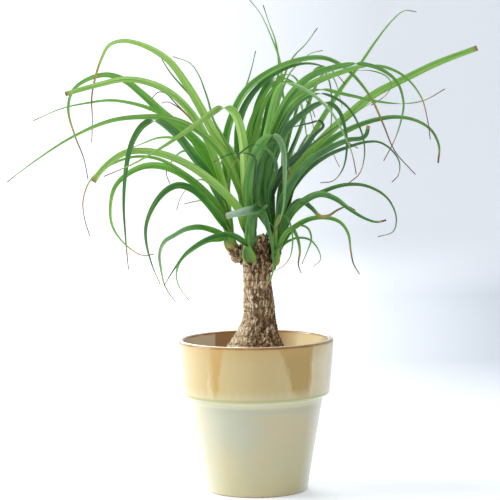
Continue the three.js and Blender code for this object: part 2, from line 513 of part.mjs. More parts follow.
// A blade: a ring of points at each station, the two faces split into triangles alike.
function bladeSolid(head, [width, turn, end, ...points], age) {
  const stations = thinned(stationsOf(midrib(head, points, age), turn));
  const section = width < blade.narrow ? flatSection : channelSection;
  const positions = [];
  for (const { t, place, across, up } of stations) {
    const half = widthAt(t, width, end) / 2;
    const rise = 2 * half * blade.channel;
    for (const [side, down] of section) {
      const point = place
        .clone()
        .addScaledVector(across, side * half)
        .addScaledVector(up, Math.abs(side) * rise - down * blade.thickness);
      positions.push(...point);
    }
  }
  const faces = [];
  const around = section.length;
  const top = around / 2 - 1; // panels on the upper face, and as many on the lower
  const last = (stations.length - 1) * around;
  const quad = (a, b, c, d) => faces.push(a, b, c, a, c, d);
  for (let s = 0; s < last; s += around) {
    for (let a = 0; a < around; a++) {
      const b = (a + 1) % around;
      const lower = a > top && a < around - 1;
      if (lower) faces.push(s + a, s + b, s + around + a, s + b, s + around + b, s + around + a);
      else quad(s + a, s + b, s + around + b, s + around + a);
    }
  }
  for (let a = 0; a < top; a++) {
    const under = around - 1 - a;
    quad(a, under, under - 1, a + 1);
    quad(last + a + 1, last + under - 1, last + under, last + a);
  }
  const geometry = new THREE.BufferGeometry();
  geometry.setAttribute("position", new THREE.Float32BufferAttribute(positions, 3));
  geometry.setIndex(faces);
  return solidOf(geometry);
}

function headSolid(side) {
  const rows = leaves[side];
  const blades = rows.map((row, i) => bladeSolid(heads[side], row, i / (rows.length - 1)));
  const whole = blades.reduce((sum, one) => sum.add(one), coreSolid(heads[side]));
  return whole.decompose().find((body) => body.volume() > 0); // small pockets between the feet are filled
}

function piece(name, geometry, material) {
  const mesh = new THREE.Mesh(geometry, material);
  mesh.name = name;
  return mesh;
}

const plant = new THREE.Group();
plant.add(piece("pot", potGeometry(), finish(colour.glaze, 0.15)));
plant.add(piece("soil", geometryOf(soilSolid()), finish(colour.earth, 0.95)));
plant.add(piece("trunk", geometryOf(trunkSolid()), finish(colour.bark, 0.9)));
for (const side of Object.keys(heads)) {
  plant.add(piece(`leaves_${side}_head`, geometryOf(headSolid(side)), finish(colour.leaf, 0.45)));
}

export default plant;
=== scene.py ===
import math

import bpy
import numpy as np
from mathutils import Matrix, Vector, noise


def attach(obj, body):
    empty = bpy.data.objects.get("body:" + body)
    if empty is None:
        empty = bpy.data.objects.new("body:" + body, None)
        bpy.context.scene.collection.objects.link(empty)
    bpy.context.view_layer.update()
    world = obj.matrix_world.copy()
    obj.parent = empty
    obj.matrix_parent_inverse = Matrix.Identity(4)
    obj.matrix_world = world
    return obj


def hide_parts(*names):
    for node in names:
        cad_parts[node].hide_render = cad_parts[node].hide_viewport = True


# Potted ponytail palm: glazed pot, potting soil, corky trunk and four heads of strap leaves.
# Sizes in the dictionaries are in millimetres, and every mesh is made in metres.

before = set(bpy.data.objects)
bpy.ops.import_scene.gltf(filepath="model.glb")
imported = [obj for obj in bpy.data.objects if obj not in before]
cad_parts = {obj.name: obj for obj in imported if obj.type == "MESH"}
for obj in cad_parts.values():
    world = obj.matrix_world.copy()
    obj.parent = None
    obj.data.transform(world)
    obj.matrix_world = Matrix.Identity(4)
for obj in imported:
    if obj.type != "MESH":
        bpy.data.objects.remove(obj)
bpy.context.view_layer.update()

perMetre = 1000.0
rng = np.random.default_rng(41)


def linear(red, green, blue):
    # a colour given on a 0-255 scale
    return tuple((c / 255.0) ** 2.2 for c in (red, green, blue)) + (1.0,)


def smoothStep(value, low, high):
    t = np.clip((value - low) / (high - low), 0.0, 1.0)
    return t * t * (3.0 - 2.0 * t)


def splineStep(t, start, startSlope, end, endSlope):
    return ((2 * t**3 - 3 * t**2 + 1) * start + (t**3 - 2 * t**2 + t) * startSlope
            + (-2 * t**3 + 3 * t**2) * end + (t**3 - t**2) * endSlope)


def socketOf(sockets, key):
    for socket in sockets:
        if socket.identifier == key or (socket.name == key and socket.enabled):
            return socket
    raise KeyError(key)


def put(tree, kind, sockets=None, **settings):
    # one node, its settings, then its inputs: another node's socket is linked, a value is typed in
    node = tree.nodes.new(kind)
    for name, value in settings.items():
        setattr(node, name, value)
    for key, value in (sockets or {}).items():
        target = node.inputs[key] if isinstance(key, int) else socketOf(node.inputs, key)
        if isinstance(value, bpy.types.NodeSocket):
            tree.links.new(value, target)
        else:
            target.default_value = value
    return node


def maths(tree, operation, first, second=0.0, third=0.0, kind="ShaderNodeMath"):
    node = put(tree, kind, {0: first, 1: second, 2: third}, operation=operation)
    return node.outputs[0]


def times(tree, first, second):
    return maths(tree, "MULTIPLY", first, second)


def plus(tree, first, second):
    return maths(tree, "ADD", first, second)


def strayed(tree, value, share):
    # a noise counted from its middle, times a share
    return times(tree, maths(tree, "SUBTRACT", value, 0.5), share)


def axesOf(tree, vector):
    return tuple(put(tree, "ShaderNodeSeparateXYZ", {0: vector}).outputs)


def scaled(tree, vector, size):
    return put(tree, "ShaderNodeVectorMath", {0: vector, "Scale": size}, operation="SCALE").outputs[0]


def summed(tree, first, second):
    return put(tree, "ShaderNodeVectorMath", {0: first, 1: second}, operation="ADD").outputs[0]


def ramp(tree, factor, stops):
    # stops is a list of (place, colour)
    node = put(tree, "ShaderNodeValToRGB", {"Fac": factor})
    elements = node.color_ramp.elements
    while len(elements) < len(stops):
        elements.new(0.5)
    for element, (place, colour) in zip(elements, stops):
        element.position = place
        element.color = colour
    return node.outputs["Color"]


def blendColour(tree, factor, first, second, mode="MIX"):
    node = put(tree, "ShaderNodeMix", data_type="RGBA", blend_type=mode)
    for key, value in (("Factor_Float", factor), ("A_Color", first), ("B_Color", second)):
        target = socketOf(node.inputs, key)
        if isinstance(value, bpy.types.NodeSocket):
            tree.links.new(value, target)
        else:
            target.default_value = value
    return socketOf(node.outputs, "Result_Color")


def mapped(tree, value, low, high, toLow=0.0, toHigh=1.0):
    sockets = {"Value": value, "From Min": low, "From Max": high, "To Min": toLow, "To Max": toHigh}
    return put(tree, "ShaderNodeMapRange", sockets, clamp=True).outputs["Result"]


def hump(tree, value, rise, fall):
    # comes up over one stretch and goes down over another
    return times(tree, mapped(tree, value, *rise), mapped(tree, value, *fall, 1.0, 0.0))


def noiseOf(tree, vector, scale, detail=3.0, roughness=0.55, distortion=0.0):
    sockets = {"Vector": vector, "Scale": scale, "Detail": detail, "Roughness": roughness,
               "Distortion": distortion}
    return put(tree, "ShaderNodeTexNoise", sockets).outputs[0]


def stretched(tree, vector, x, y, z):
    node = put(tree, "ShaderNodeVectorMath", {0: vector, 1: (x, y, z)}, operation="MULTIPLY")
    return node.outputs[0]


def randomNumber(tree, low, high, seed):
    sockets = {"Min_001": low, "Max_001": high, "Seed": seed}
    return put(tree, "FunctionNodeRandomValue", sockets, data_type="FLOAT").outputs[1]


def randomVector(tree, low, high, seed=0):
    sockets = {"Min": low, "Max": high, "Seed": seed}
    return put(tree, "FunctionNodeRandomValue", sockets, data_type="FLOAT_VECTOR").outputs[0]


def newMaterial(name):
    material = bpy.data.materials.new(name)
    material.use_nodes = True
    tree = material.node_tree
    tree.nodes.clear()
    shader = tree.nodes.new("ShaderNodeBsdfPrincipled")
    output = tree.nodes.new("ShaderNodeOutputMaterial")
    tree.links.new(shader.outputs[0], output.inputs["Surface"])
    return material, tree, shader


def objectPlace(tree):
    return tree.nodes.new("ShaderNodeTexCoord").outputs["Object"]


def attributeOf(tree, name):
    return put(tree, "ShaderNodeAttribute", attribute_name=name).outputs["Fac"]


def bumped(tree, shader, height, strength, distance):
    bump = put(tree, "ShaderNodeBump", {"Height": height, "Strength": strength, "Distance": distance})
    tree.links.new(bump.outputs[0], shader.inputs["Normal"])


def meshPiece(name, points, faces, material):
    mesh = bpy.data.meshes.new(name)
    mesh.from_pydata([tuple(p) for p in points], [], [tuple(int(i) for i in f) for f in faces])
    mesh.materials.append(material)
    mesh.shade_smooth()
    mesh.update()
    piece = bpy.data.objects.new(name, mesh)
    bpy.context.scene.collection.objects.link(piece)
    return piece


def spun(profile, sectors):
    # closed solid about Z from (radius, height) points, the first and the last on the axis
    inner = profile[1:-1]
    angles = np.arange(sectors) * (2 * math.pi / sectors)
    points = [(0.0, 0.0, profile[0][1])]
    for radius, height in inner:
        points += [(radius * math.cos(a), radius * math.sin(a), height) for a in angles]
    points.append((0.0, 0.0, profile[-1][1]))
    last = len(points) - 1
    faces = []
    for i in range(sectors):
        j = (i + 1) % sectors
        faces.append((0, 1 + j, 1 + i))
        for row in range(len(inner) - 1):
            a = 1 + row * sectors
            b = a + sectors
            faces.append((a + i, a + j, b + j, b + i))
        top = 1 + (len(inner) - 1) * sectors
        faces.append((top + i, top + j, last))
    return np.array(points), faces


def corner(x, y, radius, start, end, steps):
    # points of a round corner, angles in degrees
    angles = [math.radians(start + (end - start) * i / steps) for i in range(steps + 1)]
    return [(x + radius * math.cos(a), y + radius * math.sin(a)) for a in angles]


def newTree(name, numbers, extras=()):
    # geometry tree with a geometry input, then named numbers with their defaults
    tree = bpy.data.node_groups.new(name, "GeometryNodeTree")
    tree.interface.new_socket("Geometry", in_out="INPUT", socket_type="NodeSocketGeometry")
    tree.interface.new_socket("Geometry", in_out="OUTPUT", socket_type="NodeSocketGeometry")
    for label, value in numbers.items():
        kind = "NodeSocketInt" if isinstance(value, int) else "NodeSocketFloat"
        tree.interface.new_socket(label, in_out="INPUT", socket_type=kind).default_value = value
    for label, kind in extras:
        tree.interface.new_socket(label, in_out="INPUT", socket_type=kind)
    return tree, tree.nodes.new("NodeGroupInput"), tree.nodes.new("NodeGroupOutput")


def closeTree(tree, geometry, groupInput, groupOutput):
    # every tree ends in real geometry with its material
    real = put(tree, "GeometryNodeRealizeInstances", {"Geometry": geometry}).outputs[0]
    sockets = {"Geometry": real, "Material": groupInput.outputs["Material"]}
    finished = put(tree, "GeometryNodeSetMaterial", sockets).outputs[0]
    tree.links.new(finished, groupOutput.inputs["Geometry"])


def grown(piece, tree, values):
    # runs the tree on the piece, keeps the result as a plain mesh and drops the modifier
    modifier = piece.modifiers.new(tree.name, "NODES")
    modifier.node_group = tree
    keys = {item.name: item.identifier for item in tree.interface.items_tree if item.in_out == "INPUT"}
    for label, value in values.items():
        modifier[keys[label]] = value
    bpy.context.view_layer.update()
    evaluated = piece.evaluated_get(bpy.context.evaluated_depsgraph_get())
    plain = bpy.data.meshes.new_from_object(evaluated)
    piece.modifiers.remove(modifier)
    piece.data = plain
    plain.shade_smooth()
    return piece


def joined(name, pieces):
    # one object out of several
    bpy.ops.object.select_all(action="DESELECT")
    for piece in pieces:
        piece.select_set(True)
    bpy.context.view_layer.objects.active = pieces[0]
    if len(pieces) > 1:
        bpy.ops.object.join()
    pieces[0].name = name
    return pieces[0]


def storedNumber(tree, geometry, name, value, domain="POINT"):
    sockets = {"Geometry": geometry, "Name": name, "Value": value}
    node = put(tree, "GeometryNodeStoreNamedAttribute", sockets, data_type="FLOAT", domain=domain)
    return node.outputs[0]


def namedNumber(tree, name):
    return put(tree, "GeometryNodeInputNamedAttribute", {"Name": name}, data_type="FLOAT").outputs[0]


def namedVector(tree, name):
    node = put(tree, "GeometryNodeInputNamedAttribute", {"Name": name}, data_type="FLOAT_VECTOR")
    return node.outputs[0]


print("stage: camera and studio")

studio = {
    "cameraPlace": (-0.004, -2.300, 0.418),
    "tiltDown": 4.87,  # degrees
    "roll": -0.887,
    "lens": 181.2,
    "clipEnd": 60.0,
    "sweepHalfWidth": 5.0,
    "sweepFront": -5.0,
    "sweepBack": 2.6,  # where the paper starts to curve up
    "sweepBend": 1.2,
    "sweepTop": 4.0,
    "paperColour": (240, 243, 247),
    "paperShade": (164, 170, 178),
    "paperGlow": 0.30,  # of the floor
    "wallFrom": (0.35, 1.7),  # the glow of the floor turns into the glow of the wall over this depth
    "wallGlow": 0.62,  # glow of the paper behind the plant, on its bright side
    "wallGlowDim": 0.23,  # and on its dim side, a painted dimming as shade
    "worldColour": (0.93, 0.96, 1.0),
    "worldStrength": 0.46,
}
lamps = [
    # name, place, aimed at, size, watts, colour
    ("windowLeft", (-1.7, 0.05, 1.15), (0.0, 0.0, 0.2), 1.2, 34.0, (1.0, 0.985, 0.95)),
    ("windowBack", (-0.5, 1.9, 1.3), (0.0, 0.0, 0.25), 1.2, 22.0, (1.0, 1.0, 0.98)),
    ("fillFront", (-0.55, -2.7, 1.5), (0.0, 0.0, 0.2), 1.5, 8.0, (1.0, 1.0, 1.0)),
]


def makeCamera():
    data = bpy.data.cameras.new("camera")
    data.lens = studio["lens"]
    data.clip_end = studio["clipEnd"]
    camera = bpy.data.objects.new("camera", data)
    turn = Matrix.Rotation(math.radians(90 - studio["tiltDown"]), 4, "X")
    turn = turn @ Matrix.Rotation(math.radians(studio["roll"]), 4, "Z")
    camera.matrix_world = Matrix.Translation(studio["cameraPlace"]) @ turn
    bpy.context.scene.collection.objects.link(camera)
    bpy.context.scene.camera = camera


def makeLamps():
    for name, place, target, size, watts, colour in lamps:
        light = bpy.data.lights.new(name, "AREA")
        light.shape = "SQUARE"
        light.size = size
        light.energy = watts
        light.color = colour
        lamp = bpy.data.objects.new(name, light)
        lamp.location = place
        lamp.rotation_euler = (Vector(target) - Vector(place)).to_track_quat("-Z", "Y").to_euler()
        bpy.context.scene.collection.objects.link(lamp)


def makeWorld():
    bpy.context.scene.view_settings.view_transform = "Standard"
    world = bpy.data.worlds.new("paleRoom")
    world.use_nodes = True
    background = world.node_tree.nodes["Background"]
    background.inputs["Color"].default_value = studio["worldColour"] + (1.0,)
    background.inputs["Strength"].default_value = studio["worldStrength"]
    bpy.context.scene.world = world


def makeSweep():
    # seamless paper: a floor that curves up into a glowing wall behind the plant
    material, tree, shader = newMaterial("seamlessPaper")
    place = objectPlace(tree)
    x, y = axesOf(tree, place)[:2]
    pale = linear(*studio["paperColour"])
    grain = noiseOf(tree, place, 3.0)
    paper = blendColour(tree, grain, pale, tuple(c * 0.985 for c in pale))
    shader.inputs["Roughness"].default_value = 0.7
    shader.inputs["Specular IOR Level"].default_value = 0.15
    wall = mapped(tree, y, *studio["wallFrom"])
    # painted shade: the paper is greyer towards the back on the right
    aside = maths(tree, "DIVIDE", x, plus(tree, y, 2.3))
    paintedDimSide = mapped(tree, aside, -0.055, 0.050)
    middle = hump(tree, y, (0.25, 0.9), (1.7, 2.9))
    paintedShade = times(tree, middle, mapped(tree, aside, -0.02, 0.095))
    colour = blendColour(tree, paintedShade, paper, linear(*studio["paperShade"]))
    tree.links.new(colour, shader.inputs["Base Color"])
    # the wall's glow is painted dimmer and cooler on its right side, as shade
    wallGlow = mapped(tree, paintedDimSide, 0.0, 1.0, studio["wallGlow"], studio["wallGlowDim"])
    glow = put(tree, "ShaderNodeMix", {0: wall, 2: studio["paperGlow"], 3: wallGlow}, data_type="FLOAT")
    cool = blendColour(tree, paintedDimSide, (1.0, 1.0, 1.0, 1.0), (0.86, 0.92, 1.0, 1.0))
    tree.links.new(cool, shader.inputs["Emission Color"])
    tree.links.new(glow.outputs[0], shader.inputs["Emission Strength"])
    half, bend = studio["sweepHalfWidth"], studio["sweepBend"]
    line = [(studio["sweepFront"], 0.0), (studio["sweepBack"], 0.0)]
    line += [(studio["sweepBack"] + bend * math.sin(a), bend - bend * math.cos(a))
             for a in np.linspace(0.1, math.pi / 2, 16)]
    line.append((line[-1][0], studio["sweepTop"]))
    points = [(x, y, z) for y, z in line for x in (-half, half)]
    faces = [(2 * i, 2 * i + 1, 2 * i + 3, 2 * i + 2) for i in range(len(line) - 1)]
    meshPiece("paperSweep", points, faces, material)


makeCamera()
makeLamps()
makeWorld()
makeSweep()

print("stage: pot")

pot = {
    "height": 140.6,
    "rimRadius": 71.6,
    "bandFoot": 89.0,
    "bandFootRadius": 67.9,
    "neckRadius": 61.2,
    "baseRadius": 46.2,
    "footRounding": 2.5,
    "bandRounding": 3.0,
    "wall": 5.6,
    "floor": 8.0,
    "floorRounding": 5.0,
    "neckInset": 0.6,  # the body draws in by this much where it runs into the hollow under the band
    "neckDrop": 5.2,  # and ends this far below the band
    "hollowRadius": 2.5,
    "sectors": 160,
    "thrownWobble": 0.12,  # how far the wall strays from true
}


def insideRadius(z):
    slope = (pot["neckRadius"] - pot["baseRadius"]) / pot["bandFoot"]
    atBand = pot["neckRadius"] - pot["wall"]
    if z < pot["bandFoot"]:
        return atBand - slope * (pot["bandFoot"] - z)
    t = (z - pot["bandFoot"]) / (pot["height"] - pot["wall"] / 2 - pot["bandFoot"])
    return atBand + t * (pot["rimRadius"] - pot["wall"] - atBand)


def evenly(low, high, count):
    # points inside a straight stretch, without its ends
    return [(low[0] + (high[0] - low[0]) * i / count, low[1] + (high[1] - low[1]) * i / count)
            for i in range(1, count)]


def potProfile():
    foot, rounding, hollow = pot["footRounding"], pot["bandRounding"], pot["hollowRadius"]
    lip = pot["wall"] / 2
    straight = 24
    outline = [(0.0, 0.0), (pot["baseRadius"] * 0.5, 0.0)]
    outline += corner(pot["baseRadius"] - foot, foot, foot, -90, -8, 7)
    neck = (pot["neckRadius"] - pot["neckInset"], pot["bandFoot"] - pot["neckDrop"])
    outline += evenly(outline[-1], neck, straight)
    outline += corner(pot["neckRadius"] + 2, pot["bandFoot"] - 3.5, hollow, 188, 100, 8)
    outline += corner(pot["bandFootRadius"] - rounding, pot["bandFoot"] + rounding, rounding, -80, 0, 9)
    top = (pot["rimRadius"], pot["height"] - lip)
    outline += evenly(outline[-1], top, straight)
    outline += corner(pot["rimRadius"] - lip, pot["height"] - lip, lip, 0, 180, 14)
    for i in range(1, straight + 1):
        z = top[1] + (pot["bandFoot"] - top[1]) * i / straight
        outline.append((insideRadius(z), z))
    bend = pot["floorRounding"]
    low = pot["floor"] + bend
    outline += corner(insideRadius(low) - bend, low, bend, 0, -90, 5)
    outline.append((0.0, pot["floor"]))
    return outline


def glazeSpot(tree, place, centre, radius, warp):
    # soft blot of glaze round a point, its edge broken by noise
    away = put(tree, "ShaderNodeVectorMath", {0: place, 1: centre}, operation="DISTANCE").outputs["Value"]
    away = plus(tree, strayed(tree, warp, radius * 1.1), away)
    return mapped(tree, away, radius * 0.25, radius, 1.0, 0.0)


def paintedReflectionStripe(tree, turn, down, atLip, atFoot, soft):
    # a painted reflection stripe down the band: its centre and half width in degrees, at the lip and at the
    # band's foot
    centre = mapped(tree, down, 0.0, 1.0, math.radians(atLip[0]), math.radians(atFoot[0]))
    half = mapped(tree, down, 0.0, 1.0, math.radians(atLip[1]), math.radians(atFoot[1]))
    off = maths(tree, "ABSOLUTE", maths(tree, "SUBTRACT", turn, centre))
    return mapped(tree, maths(tree, "SUBTRACT", off, half), -soft, soft, 1.0, 0.0)


# painted reflections down the band, laid on as cream and amber stripes: centre and half width in degrees at
# the lip and at the band's foot, softness, strength, colour
paintedReflectionRuns = [
    ((-3.7, 21.2), (-0.6, 30.4), 0.03, 1.0, (199, 178, 126)),  # cream, a painted bright reflection
    ((31.0, 13.5), (36.2, 6.4), 0.02, 1.0, (178, 148, 86)),  # amber, a painted darker reflection
    ((56.8, 11.2), (57.2, 12.4), 0.012, 1.0, (214, 200, 158)),
    ((-29.9, 5.0), (-32.6, 1.0), 0.02, 0.8, (190, 152, 80)),
    ((-38.2, -1.6), (-37.4, 2.6), 0.015, 0.7, (214, 200, 152)),  # a tongue that starts below the lip
]


def tinted(tree, share, colour, shade):
    # one more layer of glaze, its colour on a 0-255 scale
    return blendColour(tree, share, colour, linear(*shade))


def bodyGlaze(tree, place, x, height, sides):
    # creamy celadon with faint blue and peach clouds, yellower towards the foot
    cloud = noiseOf(tree, place, 15.0, 4.0, 0.55, 0.5)
    warp = noiseOf(tree, place, 40.0, 3.0, 0.6, 0.4)
    body = ramp(tree, cloud, [(0.34, linear(188, 188, 160)), (0.46, linear(194, 188, 156)),
                              (0.58, linear(198, 188, 153)), (0.68, linear(203, 187, 150))])
    blue = glazeSpot(tree, place, (-0.020, -0.055, 0.064), 0.038, warp)
    body = tinted(tree, times(tree, blue, 0.5), body, (180, 186, 168))
    peach = glazeSpot(tree, place, (0.032, -0.048, 0.060), 0.028, warp)
    body = tinted(tree, times(tree, peach, 0.42), body, (208, 186, 142))
    lower = mapped(tree, maths(tree, "MULTIPLY_ADD", x, -0.35, height), 0.0, 0.060, 0.5, 0.0)
    body = tinted(tree, lower, body, (196, 186, 138))
    # painted shade: a darker blue-grey stripe just under the band, where it overhangs
    neck = hump(tree, height, (0.0765, 0.0795), (0.0800, 0.0825))
    body = tinted(tree, times(tree, neck, 0.5), body, (180, 184, 166))
    # painted highlight: a pale ring on the rounded underside of the band
    body = tinted(tree, mapped(tree, height, 0.0822, 0.0845), body, (210, 208, 178))
    # painted rim light towards the edges
    return tinted(tree, sides, body, (226, 223, 204))


def bandGlaze(tree, place, turn, height, runs, sides):
    # honey glaze, with painted reflections laid on as cream and amber stripes
    ragged = noiseOf(tree, stretched(tree, place, 260.0, 260.0, 60.0), 1.0, 3.0, 0.6)
    turn = plus(tree, turn, strayed(tree, ragged, 0.11))
    turn = plus(tree, turn, strayed(tree, runs, 0.08))
    down = mapped(tree, height, 0.1390, 0.0925)
    honey = linear(196, 171, 112)
    for atLip, atFoot, soft, strength, shade in paintedReflectionRuns:
        run = paintedReflectionStripe(tree, turn, down, atLip, atFoot, soft)
        honey = tinted(tree, times(tree, run, strength), honey, shade)
    honey = tinted(tree, mapped(tree, runs, 0.42, 0.70, 0.0, 0.25), honey, (190, 158, 92))
    thick = plus(tree, strayed(tree, ragged, 0.008), height)
    honey = tinted(tree, mapped(tree, thick, 0.0915, 0.1010, 0.75, 0.0), honey, (204, 198, 156))
    honey = tinted(tree, mapped(tree, height, 0.1250, 0.1386, 0.0, 0.5), honey, (196, 158, 92))
    # painted rim light towards the edges
    honey = tinted(tree, sides, honey, (232, 222, 190))
    olive = hump(tree, height, (0.0892, 0.0902), (0.0916, 0.0928))
    return tinted(tree, times(tree, olive, 0.75), honey, (176, 172, 118))


def insideGlaze(tree, place, x, height, onBand, colour):
    # the inside wall is lighter on the side that the light reaches
    flat = stretched(tree, place, 1.0, 1.0, 0.0)
    radius = put(tree, "ShaderNodeVectorMath", {0: flat}, operation="LENGTH").outputs["Value"]
    inside = mapped(tree, maths(tree, "MULTIPLY_ADD", height, -0.086, radius), 0.0560, 0.0568, 1.0, 0.0)
    lit = mapped(tree, x, 0.016, 0.043)
    wall = blendColour(tree, lit, linear(178, 136, 84), linear(242, 220, 168))
    # painted reflection: a pale patch on the inner wall at the far left
    wall = tinted(tree, mapped(tree, x, -0.0385, -0.0375, 0.85, 0.0), wall, (240, 224, 194))
    return blendColour(tree, times(tree, inside, onBand), colour, wall)


def lipGlaze(tree, height, runs, colour):
    # glaze breaks to red brown on the two edges of the rounded top, whose pale cream crest is a painted
    # highlight
    paintedLipHighlight = mapped(tree, height, 0.1397, 0.1404)
    breaking = times(tree, mapped(tree, height, 0.1378, 0.1390), maths(tree, "SUBTRACT", 1.0, paintedLipHighlight))
    breaking = times(tree, breaking, mapped(tree, runs, 0.35, 0.6, 0.5, 0.95))
    colour = tinted(tree, breaking, colour, (158, 98, 44))
    return tinted(tree, paintedLipHighlight, colour, (226, 212, 180))


def potGlaze():
    material, tree, shader = newMaterial("honeyAndCeladonGlaze")
    place = objectPlace(tree)
    x, y, height = axesOf(tree, place)
    fine = noiseOf(tree, place, 260.0, 3.0, 0.6)
    runs = noiseOf(tree, stretched(tree, place, 55.0, 55.0, 7.0), 1.0, 2.0, 0.5, 0.35)
    turn = maths(tree, "ARCTAN2", x, times(tree, y, -1.0))
    turn = maths(tree, "WRAP", turn, math.pi / 2, -math.pi / 2)
    # painted rim light: the glaze turns paler towards the left and right edges as seen from the front
    sides = plus(tree, mapped(tree, turn, -1.35, -0.55, 0.50, 0.0),
                 mapped(tree, turn, 0.90, 1.30, 0.0, 0.75))
    onBand = mapped(tree, height, 0.0882, 0.0894)
    colour = blendColour(tree, onBand, bodyGlaze(tree, place, x, height, sides),
                         bandGlaze(tree, place, turn, height, runs, sides))
    colour = insideGlaze(tree, place, x, height, onBand, colour)
    colour = lipGlaze(tree, height, runs, colour)
    # bare clay line at the foot
    raw = plus(tree, height, times(tree, fine, 0.0010))
    bare = mapped(tree, raw, 0.0008, 0.0016, 1.0, 0.0)
    colour = tinted(tree, bare, colour, (140, 104, 66))
    colour = tinted(tree, mapped(tree, fine, 0.62, 0.74, 0.0, 0.10), colour, (160, 140, 96))
    tree.links.new(colour, shader.inputs["Base Color"])
    glossy = mapped(tree, onBand, 0.0, 1.0, 0.30, 0.10)
    tree.links.new(plus(tree, glossy, times(tree, bare, 0.5)), shader.inputs["Roughness"])
    shader.inputs["IOR"].default_value = 1.45
    shader.inputs["Coat Weight"].default_value = 0.2
    shader.inputs["Coat Roughness"].default_value = 0.06
    bumped(tree, shader, noiseOf(tree, place, 60.0, 2.0), 0.08, 0.001)
    return material


def makePot():
    points, faces = spun([(r / perMetre, z / perMetre) for r, z in potProfile()], pot["sectors"])
    for p in points:
        radius = math.hypot(p[0], p[1])
        if radius > 0.02 and p[2] > 0.003:
            stray = noise.noise(Vector((p[0] * 30, p[1] * 30, p[2] * 45))) * pot["thrownWobble"] / perMetre
            p[0] += p[0] / radius * stray
            p[1] += p[1] / radius * stray
    piece = meshPiece("potGlazed", points, faces, potGlaze())
    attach(piece, "root")
    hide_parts("pot")


makePot()

print("stage: soil")

soil = {
    "level": 114.0,
    "mound": 4.0,
    "lumps": 1.5,
    "gap": 0.3,
    "slack": 0.2,  # besides the gap, so that lumps don't reach the wall
    "lumpsFrom": 112.5,  # height
    "rings": 44,
    "sectors": 96,
    "crumbDensity": 70000.0,  # crumbs to a square metre
    "crumbSmallest": 0.5,
    "crumbLargest": 1.9,
    "seed": 5,
}


def soilEarth():
    material, tree, shader = newMaterial("pottingMix")
    place = objectPlace(tree)
    mixed = noiseOf(tree, place, 220.0, 5.0, 0.7)
    colour = ramp(tree, mixed, [(0.30, linear(38, 27, 20)), (0.48, linear(66, 47, 33)),
                                (0.62, linear(96, 70, 48)), (0.74, linear(150, 124, 92))])
    tree.links.new(colour, shader.inputs["Base Color"])
    shader.inputs["Roughness"].default_value = 0.95
    bumped(tree, shader, noiseOf(tree, place, 700.0, 4.0), 0.6, 0.0006)
    return material


def crumbTree():
    numbers = {"Density": 1.0, "Smallest": 0.001, "Largest": 0.002, "Seed": 0}
    tree, given, result = newTree("crumbs", numbers, [("Material", "NodeSocketMaterial")])
    up = axesOf(tree, tree.nodes.new("GeometryNodeInputNormal").outputs[0])[2]
    upFacing = put(tree, "FunctionNodeCompare", {"A": up, "B": 0.6}, operation="GREATER_THAN").outputs[0]
    sockets = {"Mesh": given.outputs["Geometry"], "Selection": upFacing,
               "Density": given.outputs["Density"], "Seed": given.outputs["Seed"]}
    points = put(tree, "GeometryNodeDistributePointsOnFaces", sockets).outputs["Points"]
    crumb = put(tree, "GeometryNodeMeshIcoSphere", {"Radius": 1.0, "Subdivisions": 1}).outputs[0]
    seed = given.outputs["Seed"]
    turn = randomVector(tree, (0.0, 0.0, 0.0), (6.28, 6.28, 6.28), seed)
    turn = put(tree, "FunctionNodeEulerToRotation", {0: turn}).outputs[0]
    size = randomNumber(tree, given.outputs["Smallest"], given.outputs["Largest"], seed)
    size = scaled(tree, randomVector(tree, (0.6, 0.6, 0.4), (1.3, 1.0, 0.9)), size)
    sockets = {"Points": points, "Instance": crumb, "Rotation": turn, "Scale": size}
    crumbs = put(tree, "GeometryNodeInstanceOnPoints", sockets).outputs[0]
    both = tree.nodes.new("GeometryNodeJoinGeometry")
    tree.links.new(given.outputs["Geometry"], both.inputs[0])
    tree.links.new(crumbs, both.inputs[0])
    closeTree(tree, both.outputs[0], given, result)
    return tree


def makeSoil():
    level, mound, rings = soil["level"], soil["mound"], soil["rings"]

    def edgeAt(z):
        return insideRadius(z) - soil["gap"] - soil["slack"]

    bend = pot["floorRounding"]
    low, floor = pot["floor"] + bend, pot["floor"] + 0.1
    outline = [(0.0, floor), (edgeAt(low) - bend, floor), (edgeAt(low), low)]
    outline.append((edgeAt(pot["bandFoot"]), pot["bandFoot"]))
    for i in range(rings):
        share = i / rings
        outline.append((edgeAt(level) * (1 - share), level - 1.0 + mound * share * (2 - share)))
    outline.append((0.0, level - 1.0 + mound))
    points, faces = spun([(r / perMetre, z / perMetre) for r, z in outline], soil["sectors"])
    for p in points:
        if p[2] > soil["lumpsFrom"] / perMetre:
            spot = Vector((p[0], p[1], 0.0))
            lump = noise.noise(spot * 90.0) + 0.6 * noise.noise(spot * 260.0)
            p[2] += lump * soil["lumps"] / perMetre
    earth = soilEarth()
    piece = meshPiece("pottingSoil", points, faces, earth)
    grown(piece, crumbTree(), {
        "Density": soil["crumbDensity"], "Smallest": soil["crumbSmallest"] / perMetre,
        "Largest": soil["crumbLargest"] / perMetre, "Seed": soil["seed"], "Material": earth})
    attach(piece, "root")
    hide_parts("soil")


makeSoil()

print("stage: trunk")

